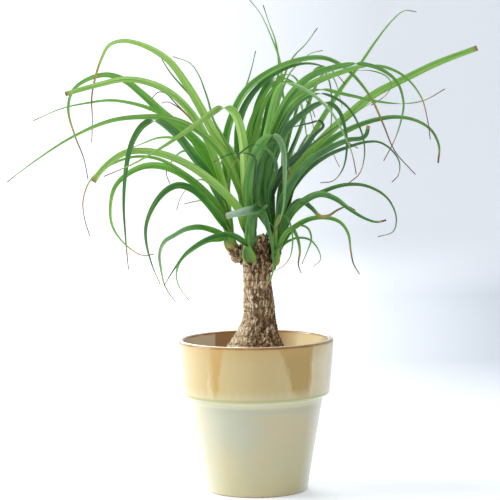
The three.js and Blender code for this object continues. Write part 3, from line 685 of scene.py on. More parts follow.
trunk = {
    # height, centre X, radius
    "rings": [
        (93.5, 0, 21), (98, 0, 29), (104, 0, 34), (111, 0, 35.4), (118, 0, 34), (124, 0, 30.6),
        (129.5, 0.3, 27.2), (135, 0.6, 24.2), (141, 1.2, 21.2), (147, 2, 18.7), (153, 2.9, 16.6),
        (160, 3.6, 15), (168, 3.4, 14.4), (177, 2.9, 13.9), (186, 2.5, 13.3), (195, 2.2, 12.8),
        (203, 1.8, 12.5), (210, 1.3, 12.4), (216, 2.4, 12), (222, 3, 11), (227.5, 3.3, 9.8), (232, 3.4, 8.4),
    ],
    "bottom": 92.0,
    "top": 233.5,
    "lobes": 5,
    "lobeDepth": 0.09,
    "lobesUpTo": 167.0,  # height where the lobes are gone
    "lobesFade": 40.0,
    "lobeTurn": 0.55,
    "rows": 290,
    "sectors": 230,
    "lumpDepth": 0.7,
    "crackDepth": 0.8,
    "grainDepth": 0.3,
    "flakeDensity": 52000.0,  # lifted splinters to a square metre
    "flakeLength": 2.6,
    "scaleDensity": 75000.0,  # papery leaf bases to a square metre, near the heads
    "scaleLength": 6.5,
    "scalesFrom": 205.0,  # height
    "hairDensity": 5000.0,
    "hairLength": 4.0,
    "seed": 7,
}
heads = {
    # foot of the green core, its direction, its sheath (slimmer, shorter, tone with painted light and shade,
    # dryness at the foot), its knob (centre, radius)
    "left": {"base": (-19, 4, 220), "lean": (-0.3, 0.06, 0.95), "sheath": (0.95, 0.72, -0.25, 0.5),
             "knob": ((-15.5, 3, 217.5), 7.6)},
    "front": {"base": (-4.5, -14.5, 211.5), "lean": (-0.02, -0.1, 0.99), "sheath": (0.98, 0.70, -0.15, 0.15),
              "knob": ((-3.5, -10.5, 211), 6.6)},
    "right": {"base": (17.5, -2.5, 207.5), "lean": (0.26, 0, 0.95), "sheath": (0.72, 0.75, -0.1, 0.2),
              "knob": ((13, -1.5, 207.5), 6.8)},
    "top": {"base": (18, 11, 221), "lean": (0.03, 0.06, 1), "sheath": (0.72, 0.7, 0.0, 0.4),
            "knob": ((14.5, 8.5, 218), 7.6)},
}


def barkCork():
    material, tree, shader = newMaterial("corkyBark")
    place = objectPlace(tree)
    crack, cell, papery = (attributeOf(tree, name) for name in ("crack", "cell", "papery"))
    streak = noiseOf(tree, stretched(tree, place, 900.0, 900.0, 260.0), 1.0, 4.0, 0.6, 0.6)
    patch = noiseOf(tree, place, 60.0, 3.0, 0.6)
    x, height = axesOf(tree, place)[::2]
    shade = maths(tree, "MULTIPLY_ADD", cell, 0.5, times(tree, streak, 0.5))
    shade = plus(tree, strayed(tree, patch, -0.6), shade)
    # painted light: lighter on the left side, where the light comes from, and darker on the right
    shade = plus(tree, shade, mapped(tree, x, -0.020, 0.022, 0.18, -0.17))
    colour = ramp(tree, shade, [(0.20, linear(84, 62, 45)), (0.36, linear(142, 112, 80)),
                                (0.52, linear(198, 166, 124)), (0.70, linear(248, 230, 198))])
    colour = tinted(tree, times(tree, crack, 0.72), colour, (70, 50, 36))
    scar = put(tree, "ShaderNodeTexWave", {"Vector": place, "Scale": 38.0, "Distortion": 3.0, "Detail": 3.0,
                                           "Detail Scale": 1.4}, bands_direction="Z").outputs["Fac"]
    colour = tinted(tree, mapped(tree, scar, 0.80, 0.98, 0.0, 0.35), colour, (88, 64, 46))
    # painted shade: the top of the stem is darker beneath the heads
    paintedShadeUnderHeads = times(tree, mapped(tree, height, 0.201, 0.214, 0.0, 0.66),
                mapped(tree, x, -0.013, -0.006, 0.25, 1.0))
    colour = tinted(tree, paintedShadeUnderHeads, colour, (84, 58, 40))
    dry = ramp(tree, maths(tree, "FRACT", papery), [(0.1, linear(58, 38, 26)), (0.55, linear(112, 82, 56)),
                                                    (0.88, linear(190, 160, 120))])
    colour = blendColour(tree, mapped(tree, papery, 0.5, 0.9), colour, dry)
    tree.links.new(colour, shader.inputs["Base Color"])
    shader.inputs["Roughness"].default_value = 0.85
    shader.inputs["Specular IOR Level"].default_value = 0.25
    fine = noiseOf(tree, stretched(tree, place, 1900.0, 1900.0, 600.0), 1.0, 4.0, 0.7)
    bumped(tree, shader, fine, 0.7, 0.0005)
    return material


def scattered(tree, target, share, instance, seed, turn, size, selection=None):
    # copies of one small shape over the faces of a mesh, put where the density and the selection allow
    sockets = {"Mesh": target, "Density": share, "Seed": seed}
    if selection is not None:
        sockets["Selection"] = selection
    spots = put(tree, "GeometryNodeDistributePointsOnFaces", sockets)
    rotation = turn(spots)
    sockets = {"Points": spots.outputs["Points"], "Instance": instance, "Rotation": rotation, "Scale": size}
    return put(tree, "GeometryNodeInstanceOnPoints", sockets).outputs[0]


def corkSurface(tree, given, place):
    # plates parted by cracks, each plate a little higher or lower than the next
    wander = noiseOf(tree, place, 130.0, 2.0)
    lump = maths(tree, "SUBTRACT", noiseOf(tree, place, 70.0, 2.0), 0.5)
    shift = scaled(tree, (2.2, 1.8, 1.2), wander)
    bent = summed(tree, stretched(tree, place, 620.0, 620.0, 215.0), shift)
    sockets = {"Vector": bent, "Scale": 1.0, "Randomness": 1.0}
    cells = put(tree, "ShaderNodeTexVoronoi", sockets, feature="DISTANCE_TO_EDGE").outputs["Distance"]
    tint = axesOf(tree, put(tree, "ShaderNodeTexVoronoi", sockets).outputs["Color"])[0]
    crack = mapped(tree, cells, 0.0, 0.2, 1.0, 0.0)
    grain = noiseOf(tree, stretched(tree, place, 900.0, 900.0, 300.0), 1.0, 4.0, 0.7)
    deep = given.outputs["Crack Depth"]
    rise = times(tree, lump, given.outputs["Lump Depth"])
    rise = maths(tree, "SUBTRACT", rise, times(tree, crack, deep))
    rise = plus(tree, rise, strayed(tree, tint, deep))
    rise = plus(tree, rise, strayed(tree, grain, given.outputs["Grain Depth"]))
    normal = tree.nodes.new("GeometryNodeInputNormal").outputs[0]
    kept = storedNumber(tree, given.outputs["Geometry"], "crack", crack)
    kept = storedNumber(tree, kept, "cell", tint)
    sockets = {"Geometry": kept, "Offset": scaled(tree, normal, rise)}
    return put(tree, "GeometryNodeSetPosition", sockets).outputs[0]


def aimed(tree, vector):
    return put(tree, "FunctionNodeAlignRotationToVector", {"Vector": vector}, axis="Z").outputs[0]


def cone(tree, sides, top, bottom):
    sockets = {"Vertices": sides, "Radius Top": top, "Radius Bottom": bottom, "Depth": 1.0}
    return put(tree, "GeometryNodeMeshCone", sockets).outputs[0]


def liftedFlakes(tree, given, rough, shade):
    # splinters of cork that have lifted a little off the stem
    seed = given.outputs["Seed"]
    sockets = {"Geometry": cone(tree, 4, 0.05, 0.16), "Scale": (1.0, 0.45, 1.0)}
    flake = put(tree, "GeometryNodeTransform", sockets).outputs[0]

    def alongStem(spots):
        stray = randomVector(tree, (-0.35, -0.35, 0.6), (0.35, 0.35, 1.0), seed)
        return aimed(tree, summed(tree, stray, scaled(tree, spots.outputs["Normal"], 0.32)))

    long = times(tree, randomNumber(tree, 0.35, 1.0, 3), given.outputs["Flake Length"])
    flakes = scattered(tree, rough, given.outputs["Flake Density"], flake, seed, alongStem, long)
    return storedNumber(tree, flakes, "cell", shade, "INSTANCE")


def paperySheet(tree, place):
    # a small sheet that narrows, curls off the stem towards its end and hugs it sideways
    sockets = {"Size": (0.75, 1.0, 0.05), "Vertices X": 5, "Vertices Y": 7, "Vertices Z": 2}
    sheet = put(tree, "GeometryNodeMeshCube", sockets).outputs[0]
    x, y, z = axesOf(tree, place)
    up = plus(tree, y, 0.5)
    narrow = times(tree, x, mapped(tree, up, 0.2, 1.0, 1.0, 0.35))
    curl = times(tree, maths(tree, "POWER", up, 2.0), 0.34)
    hug = times(tree, times(tree, x, x), -0.7)
    lift = plus(tree, plus(tree, curl, hug), z)
    bent = put(tree, "ShaderNodeCombineXYZ", {0: narrow, 1: up, 2: lift}).outputs[0]
    return put(tree, "GeometryNodeSetPosition", {"Geometry": sheet, "Position": bent}).outputs[0]


def paperyScales(tree, given, rough, shade, place, size):
    # bases of old leaves round the top of the stem and on the knobs
    def upStem(spots):
        flat = aimed(tree, spots.outputs["Normal"])
        stray = randomVector(tree, (-0.5, -0.5, 0.7), (0.5, 0.5, 1.0), 8)
        return put(tree, "FunctionNodeAlignRotationToVector", {"Rotation": flat, "Vector": stray},
                   axis="Y", pivot_axis="Z").outputs[0]

    high = put(tree, "FunctionNodeCompare", {"A": axesOf(tree, place)[2], "B": given.outputs["Scales From"]},
               operation="GREATER_THAN").outputs[0]
    long = times(tree, size, given.outputs["Scale Length"])
    scales = scattered(tree, rough, given.outputs["Scale Density"], paperySheet(tree, place),
                       given.outputs["Seed"], upStem, long, high)
    return storedNumber(tree, scales, "papery", maths(tree, "MULTIPLY_ADD", shade, 0.98, 1.0), "INSTANCE")


def strayFibres(tree, given, rough, shade, size):
    def outwards(spots):
        stray = randomVector(tree, (-0.6, -0.6, -0.5), (0.6, 0.6, 0.5), given.outputs["Seed"])
        return aimed(tree, summed(tree, stray, spots.outputs["Normal"]))

    long = times(tree, size, given.outputs["Hair Length"])
    hair = cone(tree, 3, 0.004, 0.02)
    hairs = scattered(tree, rough, given.outputs["Hair Density"], hair, 9, outwards, long)
    return storedNumber(tree, hairs, "cell", shade, "INSTANCE")


def barkTree():
    numbers = {"Lump Depth": 0.0007, "Crack Depth": 0.0006, "Grain Depth": 0.0002, "Flake Density": 1.0,
               "Flake Length": 0.002, "Scale Density": 1.0, "Scale Length": 0.005, "Scales From": 0.2,
               "Hair Density": 1.0, "Hair Length": 0.004, "Seed": 0}
    tree, given, result = newTree("bark", numbers, [("Material", "NodeSocketMaterial")])
    place = tree.nodes.new("GeometryNodeInputPosition").outputs[0]
    rough = corkSurface(tree, given, place)
    shade = randomNumber(tree, 0.0, 1.0, 11)
    size = randomNumber(tree, 0.4, 1.0, 5)
    everything = tree.nodes.new("GeometryNodeJoinGeometry")
    for part in (rough, liftedFlakes(tree, given, rough, shade),
                 paperyScales(tree, given, rough, shade, place, size),
                 strayFibres(tree, given, rough, shade, size)):
        tree.links.new(part, everything.inputs[0])
    closeTree(tree, everything.outputs[0], given, result)
    return tree


def stemPoints():
    heights, centres, radii = (np.array(column, float) for column in zip(*trunk["rings"]))
    rows = np.linspace(heights[0], heights[-1], trunk["rows"])

    def smooth(values):
        slopes = np.gradient(values, heights)
        index = np.clip(np.searchsorted(heights, rows) - 1, 0, len(heights) - 2)
        span = heights[index + 1] - heights[index]
        t = (rows - heights[index]) / span
        start, end = (values[index], slopes[index] * span), (values[index + 1], slopes[index + 1] * span)
        return splineStep(t, *start, *end)

    centre, radius = smooth(centres), smooth(radii)
    profile = [(0.0, trunk["bottom"])] + list(zip(radius, rows)) + [(0.0, trunk["top"])]
    points, faces = spun(profile, trunk["sectors"])
    for p in points:
        z = p[2]
        angle = math.atan2(p[1], p[0])
        foot = min(max((trunk["lobesUpTo"] - z) / trunk["lobesFade"], 0.0), 1.0)
        wave = math.cos(trunk["lobes"] * angle + trunk["lobeTurn"] + z / trunk["lobesFade"])
        share = 1 + trunk["lobeDepth"] * foot * wave
        p[0] = p[0] * share + np.interp(z, rows, centre)
        p[1] *= share
    return points / perMetre, faces


def knobPoints(place, radius):
    steps = 26
    profile = [(radius * math.cos(a), radius * math.sin(a))
               for a in np.linspace(-math.pi / 2, math.pi / 2, steps)]
    profile[0], profile[-1] = (0.0, -radius), (0.0, radius)
    points, faces = spun(profile, 48)
    for p in points:
        p *= 1 + 0.09 * noise.noise(Vector(p * 0.22 + np.array(place)))
    return (points + np.array(place)) / perMetre, faces


def makeTrunk():
    cork = barkCork()
    stem = meshPiece("stem", *stemPoints(), cork)
    knobs = [meshPiece("knob", *knobPoints(*head["knob"]), cork) for head in heads.values()]
    piece = joined("trunkCorky", [stem] + knobs)
    grown(piece, barkTree(), {
        "Lump Depth": trunk["lumpDepth"] / perMetre, "Crack Depth": trunk["crackDepth"] / perMetre,
        "Grain Depth": trunk["grainDepth"] / perMetre, "Flake Density": trunk["flakeDensity"],
        "Flake Length": trunk["flakeLength"] / perMetre, "Scale Density": trunk["scaleDensity"],
        "Scale Length": trunk["scaleLength"] / perMetre, "Scales From": trunk["scalesFrom"] / perMetre,
        "Hair Density": trunk["hairDensity"], "Hair Length": trunk["hairLength"] / perMetre,
        "Seed": trunk["seed"], "Material": cork})
    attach(piece, "root")
    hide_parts("trunk")


makeTrunk()

print("stage: leaves")

core = {
    "outline": [(3.6, 0.6), (5.6, 4), (6.2, 9), (5.7, 15), (4.3, 22), (2.4, 29)],  # half width, height
    "height": 32.0,
    "rows": 30,
    "sectors": 90,
    "sheaths": 3,
    "sheathDepth": 0.34,
    "sheathShade": 0.9,  # painted shade: how much darker a sheath is where the next one covers it
    "slant": 0.035,  # turns to a millimetre
    "footFrom": 6,  # height on the core where the oldest leaf starts
    "footRise": 14,  # how much higher the youngest one starts
    "footOut": 1.2,
    "sheathRise": 9,  # each leaf comes out of the core this far above its foot
    "sheathOut": 3.6,
}
blade = {
    "thickness": 0.09,  # share of the half width
    "channel": 0.4,
    "clasp": 0.55,  # how far the margins of the foot bend in, as a share of the half width
    "foot": 0.7,
    "taper": 1.7,
    "pinch": 0.35,  # share of the width that a drawn-out tip loses besides
    "trimmed": 0.3,  # a leaf that keeps more than this share of its width has no such tip
    "stations": 90,
    "sides": 22,
    "narrowest": 0.9,  # width
    "waveDepth": 0.07,
    "waveCount": 5.0,
    "paintedSheen": 0.16,  # painted sheen beyond the middle of every blade
    "wobble": 7.0,  # degrees
    "comesForward": -0.6,  # a leaf heading more to the front than this shows its back as it rises
    "even": 4,  # steps over which the twist is evened out
}
# Each leaf: full width, degrees that its upper face is turned to the front, share of the width left at
# the end, brightness from -1 (deep blue green) to 1 (yellow green), partly its own tone and partly painted
# light and shade, share of the blade that is dry at the tip, and the points that its midrib runs through
# after it leaves the core.
leafTable = {
    "left": [
        (4, 72, 0.12, 0, 0.06, [(-30, -2, 232), (-42, -8, 231.5), (-56, -16, 224.5), (-67, -22, 215),
            (-71, -26, 203.5), (-69, -28, 193), (-60, -30, 179.5)]),
        (6, 67, 0.1, -0.1, 0.2, [(-35, 2, 239), (-49, -2, 243.5), (-62, -7, 242.5), (-73, -12, 237),
            (-82, -17, 231.5), (-86, -20, 221), (-85, -22, 208), (-82.5, -23, 195), (-78, -24, 185.5),
            (-72, -25, 178)]),
        (8, 82, 0.1, -0.2, 0.08, [(-31, -2, 251), (-45, -10, 270), (-57, -20, 280.5), (-69, -30, 284),
            (-80, -38, 279), (-90, -45, 267), (-96.5, -49, 251), (-97, -52, 236), (-92, -55, 215),
            (-84.5, -57, 196.5)]),
        (3, 62, 0.2, 0.1, 0.25, [(-30, 16, 247), (-38, 28, 260), (-46, 36, 265.5), (-55, 42, 264.5),
            (-65, 47, 262)]),
        (8, 77, 0.1, 0.2, 0.12, [(-29, 2, 254), (-43, -4, 274), (-62, -14, 291.5), (-81, -24, 301),
            (-98, -32, 302), (-113, -38, 295.5), (-124.5, -43, 284), (-128.5, -46, 267), (-127, -48, 250),
            (-117.5, -50, 235), (-101.5, -52, 223.5), (-90, -53, 224)]),
        (4, 72, 0.1, 0.2, 0.25, [(-30, 0, 260), (-46, -9, 280), (-66, -19, 297), (-87, -27, 308.5),
            (-108, -33, 310.5), (-130, -38, 303), (-146, -42, 291), (-153, -45, 273), (-152, -47, 257),
            (-147.5, -48, 241)]),
        (3, 52, 0.1, 0, 0.3, [(-31, 24, 264), (-40, 35, 280), (-49, 41, 285), (-60, 45, 278),
            (-68, 48, 268), (-72, 50, 256)]),
        (5, 72, 0.1, -0.1, 0.25, [(-32, 14, 278), (-42, 26, 298), (-54, 36, 310), (-65, 42, 311.5),
            (-75, 47, 303), (-81, 50, 292.5), (-78, 52, 281)]),
        (6, 77, 0.15, 0.15, 0.05, [(-27, 8, 264), (-38, 17, 292), (-53, 26, 312), (-70, 34, 323.5),
            (-87, 40, 324.5), (-102, 44, 319.5), (-113, 47, 315)]),
        (9.5, 84, 0.1, -0.25, 0.1, [(-28, 1, 262), (-38, -13, 287), (-54, -32, 311), (-69, -47, 331.5),
            (-84, -60, 343), (-96, -69, 341), (-106, -75, 327), (-112, -78, 305), (-115, -79, 272),
            (-114, -79, 242), (-112, -78, 213)]),
        (6, 72, 0.08, 0.1, 0.05, [(-27, 9.5, 264), (-36, 15, 290), (-50, 20, 314), (-66, 25, 335),
            (-84, 29, 347), (-103, 33, 355), (-130, 37, 360), (-152, 41, 358), (-177, 44, 353),
            (-204, 47, 342)]),
        (9.5, 84, 0.06, 0.1, 0.24, [(-26, 6, 264), (-33, 7, 290), (-44, 8, 313), (-62, 9, 332),
            (-82, 10, 348.5), (-100, 12, 365.5), (-117, 14, 379), (-133, 16, 384), (-151, 19, 380),
            (-165, 22, 369.5), (-169.5, 25, 352), (-164, 27, 328), (-156.5, 29, 307), (-153, 30, 287)]),
        (5, 62, 0.12, 0, 0.25, [(-26, 12, 277), (-37, 16, 310), (-50, 19, 334), (-60, 22, 345.5),
            (-69, 24, 353.5), (-78, 26, 358), (-84, 27, 357)]),
        (7.5, 82, 0.55, 0.45, 0.015, [(-25, 1, 268), (-31, -6, 294), (-41, -13, 323), (-54, -18, 347),
            (-71, -23, 365.5), (-91, -26, 376.5), (-114, -29, 380.5), (-138, -31, 376),
            (-168, -33, 368)]),
        (3.5, 72, 0.15, 0.1, 0.4, [(-25, 3, 277), (-34, 0, 307), (-46, -4, 330), (-58, -6, 345),
            (-70, -8, 358), (-79, -9, 367), (-85, -9, 368), (-91, -10, 362.5)]),
        (4, 62, 0.15, -0.1, 0.05, [(-24, 9, 287), (-31, 14, 322), (-43, 20, 347), (-58, 25, 365),
            (-75, 29, 385), (-87, 32, 405)]),
        (8.5, 20, 0.12, -0.2, 0.08, [(-27, 24, 264), (-35, 55, 292), (-41, 92, 306), (-45, 130, 302),
            (-47, 162, 286)]),
        (6, 15, 0.12, -0.1, 0.1, [(-24, 27, 260), (-30, 60, 286), (-34, 98, 292), (-36, 132, 280),
            (-36, 156, 264)]),
        (4, 42, 0.12, 0.2, 0.05, [(-23, 8, 292), (-24, 8, 324), (-16, 9, 350), (-6, 10, 370),
            (0, 11, 388), (4, 12, 404)]),
        (8, 72, 0.05, 0, 0.3, [(-23, 4, 284), (-25, 2, 318), (-17, -3, 348), (-4, -10, 369.5),
            (20, -13, 386.5), (48, -16, 396), (68, -20, 396), (86, -23, 386), (101, -26, 369.5),
            (110, -29, 354.5), (117.5, -31, 337), (128, -34, 312), (146, -37, 291)]),
    ],
    "front": [
        (4, 66, 0.25, -0.4, 0.3, [(-0.7, -22, 232.5), (2.1, -24, 235), (5.3, -25, 237),
            (8.9, -25.5, 237.6), (11.5, -26, 234.5)]),
        (6, 77, 0.12, -0.2, 0.1, [(-10.5, -22, 231.5), (-18, -27, 237), (-28, -33, 239),
            (-45, -42, 234.5), (-61, -49, 224.5), (-72.5, -54, 210), (-81.5, -58, 196)]),
        (9.5, 76, 0.12, -0.2, 0, [(-3.7, -27, 241.5), (-2.2, -29, 252.5), (1.5, -32, 260),
            (6, -36, 260.5), (9.5, -39, 254.5), (12.5, -41, 245), (15, -42, 236), (16.5, -43, 225.5),
            (17, -42.8, 212)]),
        (3, 70, 0.3, 0.1, 0.2, [(-2.2, -26.5, 252.5), (2.8, -32, 258.5), (9.5, -38, 253.5),
            (14.5, -41.2, 236), (16.7, -42.2, 220), (16.8, -42.2, 209), (14.5, -41.8, 200.5),
            (1, -40, 179.5)]),
        (12, 55, 0.5, -0.35, 0.012, [(-2, -23, 252), (4, -28.5, 260.5), (8, -35.5, 263),
            (4.5, -42, 263.5), (-1.5, -46.5, 262.8), (-8, -49.5, 261.8), (-13.8, -52, 260.6),
            (-20, -54, 259.2), (-25.6, -55.5, 257.5)]),
        (8, 77, 0.6, 0.45, 0.015, [(-13, -22, 259), (-24, -28, 274), (-40, -37, 290), (-61, -48, 305),
            (-80.5, -56, 313.5), (-98, -62, 317), (-114, -67, 315.5), (-126.5, -70, 308),
            (-136, -73, 299), (-141.5, -75, 291)]),
        (10.5, 50, 0.1, -0.1, 0.1, [(-5, -21, 257), (-4.5, -30, 283.5), (0.5, -41, 307), (9.5, -52, 324),
            (18, -60, 329), (24.5, -66, 324), (27.5, -70, 311), (27.5, -73, 286.5), (26.5, -75, 269),
            (23, -76, 255), (15.5, -77, 241)]),
        (4.5, 20, 0.1, -0.5, 0.05, [(-3, -21, 264), (2, -32, 292), (1, -43, 309), (-10, -54, 313.5),
            (-22, -62, 312.5), (-35.5, -68, 306.5)]),
        (8, 62, 0.15, -0.3, 0.05, [(1, -19, 264), (5, -25, 292), (11, -33, 311.5), (19, -41, 321.5),
            (27, -46, 319), (31, -49, 308), (32, -51, 294)]),
        (9, 62, 0.08, 0.2, 0.05, [(-8, -19, 260), (-16, -23, 286), (-31.7, -29, 316), (-51.3, -36, 334),
            (-73.8, -42, 344), (-98, -47, 346.5), (-127.3, -52, 343.5), (-161, -57, 330),
            (-195, -62, 309), (-219, -66, 291.5)]),
        (10, 77, 0.06, 0.5, 0.08, [(-6, -21, 262), (-7, -29, 289), (-8, -38, 314), (-11, -48, 336),
            (-17, -58, 350.5), (-26.5, -68, 354.5), (-46.5, -84, 343), (-75, -99, 324.5),
            (-103, -110, 309), (-130, -118, 298)]),
        (4, 62, 0.08, 0.1, 0.06, [(-9, -16, 274), (-15, -14, 302), (-27, -11, 326), (-36, -8, 343),
            (-40, -5, 359), (-43.5, -2, 370), (-48, 1, 382), (-56, 4, 393.5), (-72, 7, 400)]),
        (9.5, 84, 0.04, 0.55, 0.28, [(-10, -16, 267), (-13, -13, 294), (-21, -11, 312), (-35, -9, 330),
            (-47, -6, 353), (-59, -3, 374), (-76, 0, 397), (-99, 4, 411), (-118, 7, 415), (-130, 9, 411),
            (-138, 11, 397), (-143.5, 13, 381), (-147, 14, 364), (-147, 15, 344), (-148, 16, 322)]),
        (9, 72, 0.1, -0.2, 0.08, [(-8, -13, 274), (-13, -10, 307), (-12, -8, 340), (-4, -6, 359),
            (8, -4, 373.5), (22, -1, 383.5), (36, 2, 389.5), (50, 5, 392), (64, 8, 389.5), (76, 11, 383),
            (86, 14, 372)]),
    ],
    "right": [
        (3, 52, 0.15, 0, 0.2, [(28, 2, 227), (40, 4, 232), (51, 5, 230), (58.5, 6, 221), (60.5, 7, 211.5),
            (53.5, 8, 205)]),
        (5, 72, 0.12, 0, 0.35, [(28, -18, 237), (34.5, -26, 242.5), (39, -31, 235), (41, -33, 223),
            (39.5, -34, 211), (42, -34, 203)]),
        (4.5, 30, 0.12, 0.1, 0.12, [(29, -10, 239), (40, -17, 245), (48.5, -21, 242.5), (51.5, -24, 234),
            (48, -26, 223), (42.5, -27, 210.5)]),
        (5.5, 72, 0.12, 0.1, 0.3, [(34, 5, 239), (50, 8, 248.5), (66, 10, 250), (79.5, 12, 245),
            (86.5, 14, 234.5), (89, 15, 218), (91.5, 16, 206), (97, 17, 196.5)]),
        (3, 0, 0.1, 0.1, 0.2, [(21, -18, 248), (25, -26, 256), (31, -30, 251), (34, -32, 241),
            (34.5, -33, 231), (32, -33, 218), (26, -32, 210), (17.5, -31, 205)]),
        (7, 82, 0.12, -0.3, 0.42, [(30.3, -6.5, 248.6), (36, -12, 263), (43, -16, 267.5),
            (52, -20, 261.5), (60, -22, 254), (68, -24, 254.5), (76, -26, 259.5), (85, -28, 262.5),
            (92, -29, 259)]),
        (8, 84, 0.3, -0.2, 0.06, [(31, -9.4, 251.4), (46, -18, 267.5), (60, -25, 274), (74, -31, 270),
            (86.5, -35, 260.5), (99.5, -38, 252.5), (110, -40, 249), (119, -41, 250.5)]),
        (5, 72, 0.1, -0.2, 0.06, [(31, 1, 249), (44, 1, 264), (61, 0, 273.5), (84, -1, 280.5),
            (104, -3, 279), (122, -4, 268), (130, -5, 250.5), (127, -6, 237.5), (113, -7, 233)]),
        (5.5, 72, 0.1, -0.35, 0.08, [(28, -8, 264), (47, -18, 293), (68, -26, 309), (88, -32, 317),
            (103, -37, 321), (114, -40, 320.5), (124, -43, 314), (131, -45, 303), (130, -46, 291.5),
            (124, -47, 285)]),
        (9.5, 77, 0.35, -0.3, 0.015, [(28, -15, 270), (47, -27, 300), (68, -36, 315), (86, -43, 323),
            (97, -47, 324.5), (101.5, -49, 328), (103.5, -50, 336)]),
        (8.5, 66, 0.1, -0.6, 0.05, [(28.5, -2.5, 256), (38, -9, 284), (52, -15, 303), (68, -19, 315),
            (84, -23, 320), (95, -27, 315)]),
        (7.5, 77, 0.3, -0.1, 0.06, [(30, 3, 269), (50, 0, 301), (70, -3, 320.5), (90, -6, 332),
            (111.5, -8, 339.5), (131.5, -10, 342), (149, -12, 338.5), (162, -14, 330), (169, -15, 315.5),
            (168, -16, 300)]),
        (3.5, 62, 0.12, -0.3, 0.05, [(26.5, -4, 287), (45, -16, 311), (69, -27, 330), (85, -33, 341),
            (98.5, -35, 351), (110.5, -37, 358)]),
        (8.5, 72, 0.65, 0.35, 0.015, [(31, 8, 275), (45, 13, 301), (64, 17, 321.5), (85, 21, 340.5),
            (112, 25, 361.5), (142.5, 28, 376.5), (172.5, 31, 390), (209, 34, 403)]),
        (6, 15, 0.12, -0.2, 0.1, [(26, 22, 266), (34, 52, 293), (38, 90, 306), (40, 126, 298),
            (41, 150, 276)]),
        (7, 15, 0.12, -0.1, 0.06, [(29, 3, 256), (29, 20, 290), (31, 45, 332), (38, 84, 362),
            (46, 128, 355), (52, 168, 328), (55, 190, 298)]),
        (8, 25, 0.12, -0.3, 0.08, [(31, 22, 270), (42, 58, 302), (52, 100, 320), (58, 142, 320),
            (62, 178, 308)]),
        (7, 67, 0.1, 0.2, 0.05, [(33, 10, 282), (48, 18, 311.5), (65, 24, 341), (84, 29, 369.5),
            (98, 32, 386.5), (116.5, 35, 412.5), (131, 37, 430), (142, 39, 438.5), (153.5, 40, 437.5)]),
        (4, 52, 0.1, -0.1, 0.15, [(29, 12, 302), (42, 16, 352), (54, 18, 380), (63, 18, 388),
            (70, 17, 378), (73, 16, 359), (72.5, 15, 340), (71, 14, 320), (74.5, 13, 307),
            (79.5, 12, 296)]),
        (6, 20, 0.15, -0.2, 0.05, [(30, 16, 294), (44, 24, 330), (55, 30, 360), (64, 40, 378),
            (72, 58, 382), (80, 82, 370), (86, 104, 348)]),
    ],
    "top": [
        (6, 10, 0.1, -0.2, 0.1, [(-4, 26, 270), (-6, 52, 296), (-6, 80, 288), (-5, 98, 252),
            (-5, 104, 202), (-4, 106, 162)]),
        (6, 10, 0.1, -0.1, 0.12, [(16, 26, 272), (15, 56, 304), (14, 90, 306), (14, 116, 266),
            (13, 124, 214), (12, 126, 170)]),
        (8, 10, 0.12, -0.2, 0.06, [(-2, 24, 274), (-10, 58, 302), (-20, 102, 312), (-29, 150, 300),
            (-34, 185, 278)]),
        (4.5, 60, 0.08, -0.3, 0.15, [(14, -10, 272), (21, -34, 300), (13, -54, 316), (0, -66, 321),
            (-12.5, -72, 313), (-18.5, -76, 302), (-22, -78, 288)]),
        (10, 76, 0.08, -0.75, 0, [(14, -5, 268), (26, -16, 294), (42, -28, 311), (56, -38, 328.5),
            (63.5, -43, 336), (60, -46, 341), (50, -48, 339), (31, -50, 335)]),
        (9.5, 70, 0.06, -0.4, 0.1, [(10, -10, 274), (20, -22, 310), (31, -32, 333), (44, -40, 346),
            (58.5, -46, 355.5), (68.5, -50, 356.5), (77, -54, 350), (83, -57, 330), (83, -59, 310.5),
            (79, -61, 297), (71, -62, 288), (59.5, -63, 286.5)]),
        (5, 66, 0.08, -0.3, 0.1, [(12, -14, 280), (23, -30, 326), (41, -44, 356), (58, -52, 365),
            (70.5, -57, 363), (84, -61, 354), (93.5, -65, 339), (98.5, -68, 322.5), (98.5, -70, 308.5),
            (94, -72, 294.5), (84.5, -73, 286.5)]),
        (7.5, 66, 0.08, 0, 0.1, [(8, -5, 274), (16, -14, 314), (28, -23, 342), (41, -31, 359),
            (58.5, -37, 368), (87.5, -42, 363), (111, -46, 357.5), (134.5, -49, 355), (153.5, -52, 358),
            (172, -55, 368)]),
        (8.5, 70, 0.1, 0.3, 0.05, [(1, -3, 274), (0, 2, 306), (5, 7, 338), (13, 11, 360), (24, 14, 373),
            (36, 17, 375), (50, 21, 363), (58, 25, 342)]),
        (9.5, 74, 0.05, 0, 0.1, [(3, -8, 272), (10, -18, 310), (21, -27, 339), (34, -34, 363),
            (50, -39, 379), (69, -42, 387), (97, -46, 391), (115.5, -48, 386), (129.5, -50, 374.5),
            (135, -51, 356), (132.5, -52, 340), (126.5, -53, 323), (116.5, -54, 304.5)]),
        (9, 70, 0.05, 0.2, 0.15, [(6, -1, 276), (13, -6, 316), (25, -13, 347), (42, -20, 365),
            (60, -25, 376), (82, -29, 384), (99, -31, 388.5), (120.5, -33, 387.5), (138.5, -35, 378),
            (152, -37, 360), (157, -38, 341), (159.5, -39, 322.5)]),
        (9, 70, 0.1, 0.2, 0.05, [(-3, 0, 274), (-6, 7, 308), (-3, 12, 333), (2, 16, 347), (9, 20, 360),
            (17, 24, 371), (27, 29, 378), (39, 36, 374), (50, 44, 359)]),
        (7, 76, 0.08, 0.1, 0.1, [(6, -12, 286), (14, -32, 336), (26, -50, 373), (39, -60, 373),
            (54.5, -69, 364.5), (70, -77, 349), (81, -84, 328.5), (87, -88, 313.5), (90.5, -90, 295)]),
        (4.5, 60, 0.08, 0.1, 0.1, [(11, 1, 282), (21, -3, 328), (35, -8, 357), (51, -12, 373),
            (70, -16, 381), (98, -20, 385), (114, -22, 383), (123, -23, 378), (126, -24, 371),
            (120, -25, 362), (107, -26, 353.5)]),
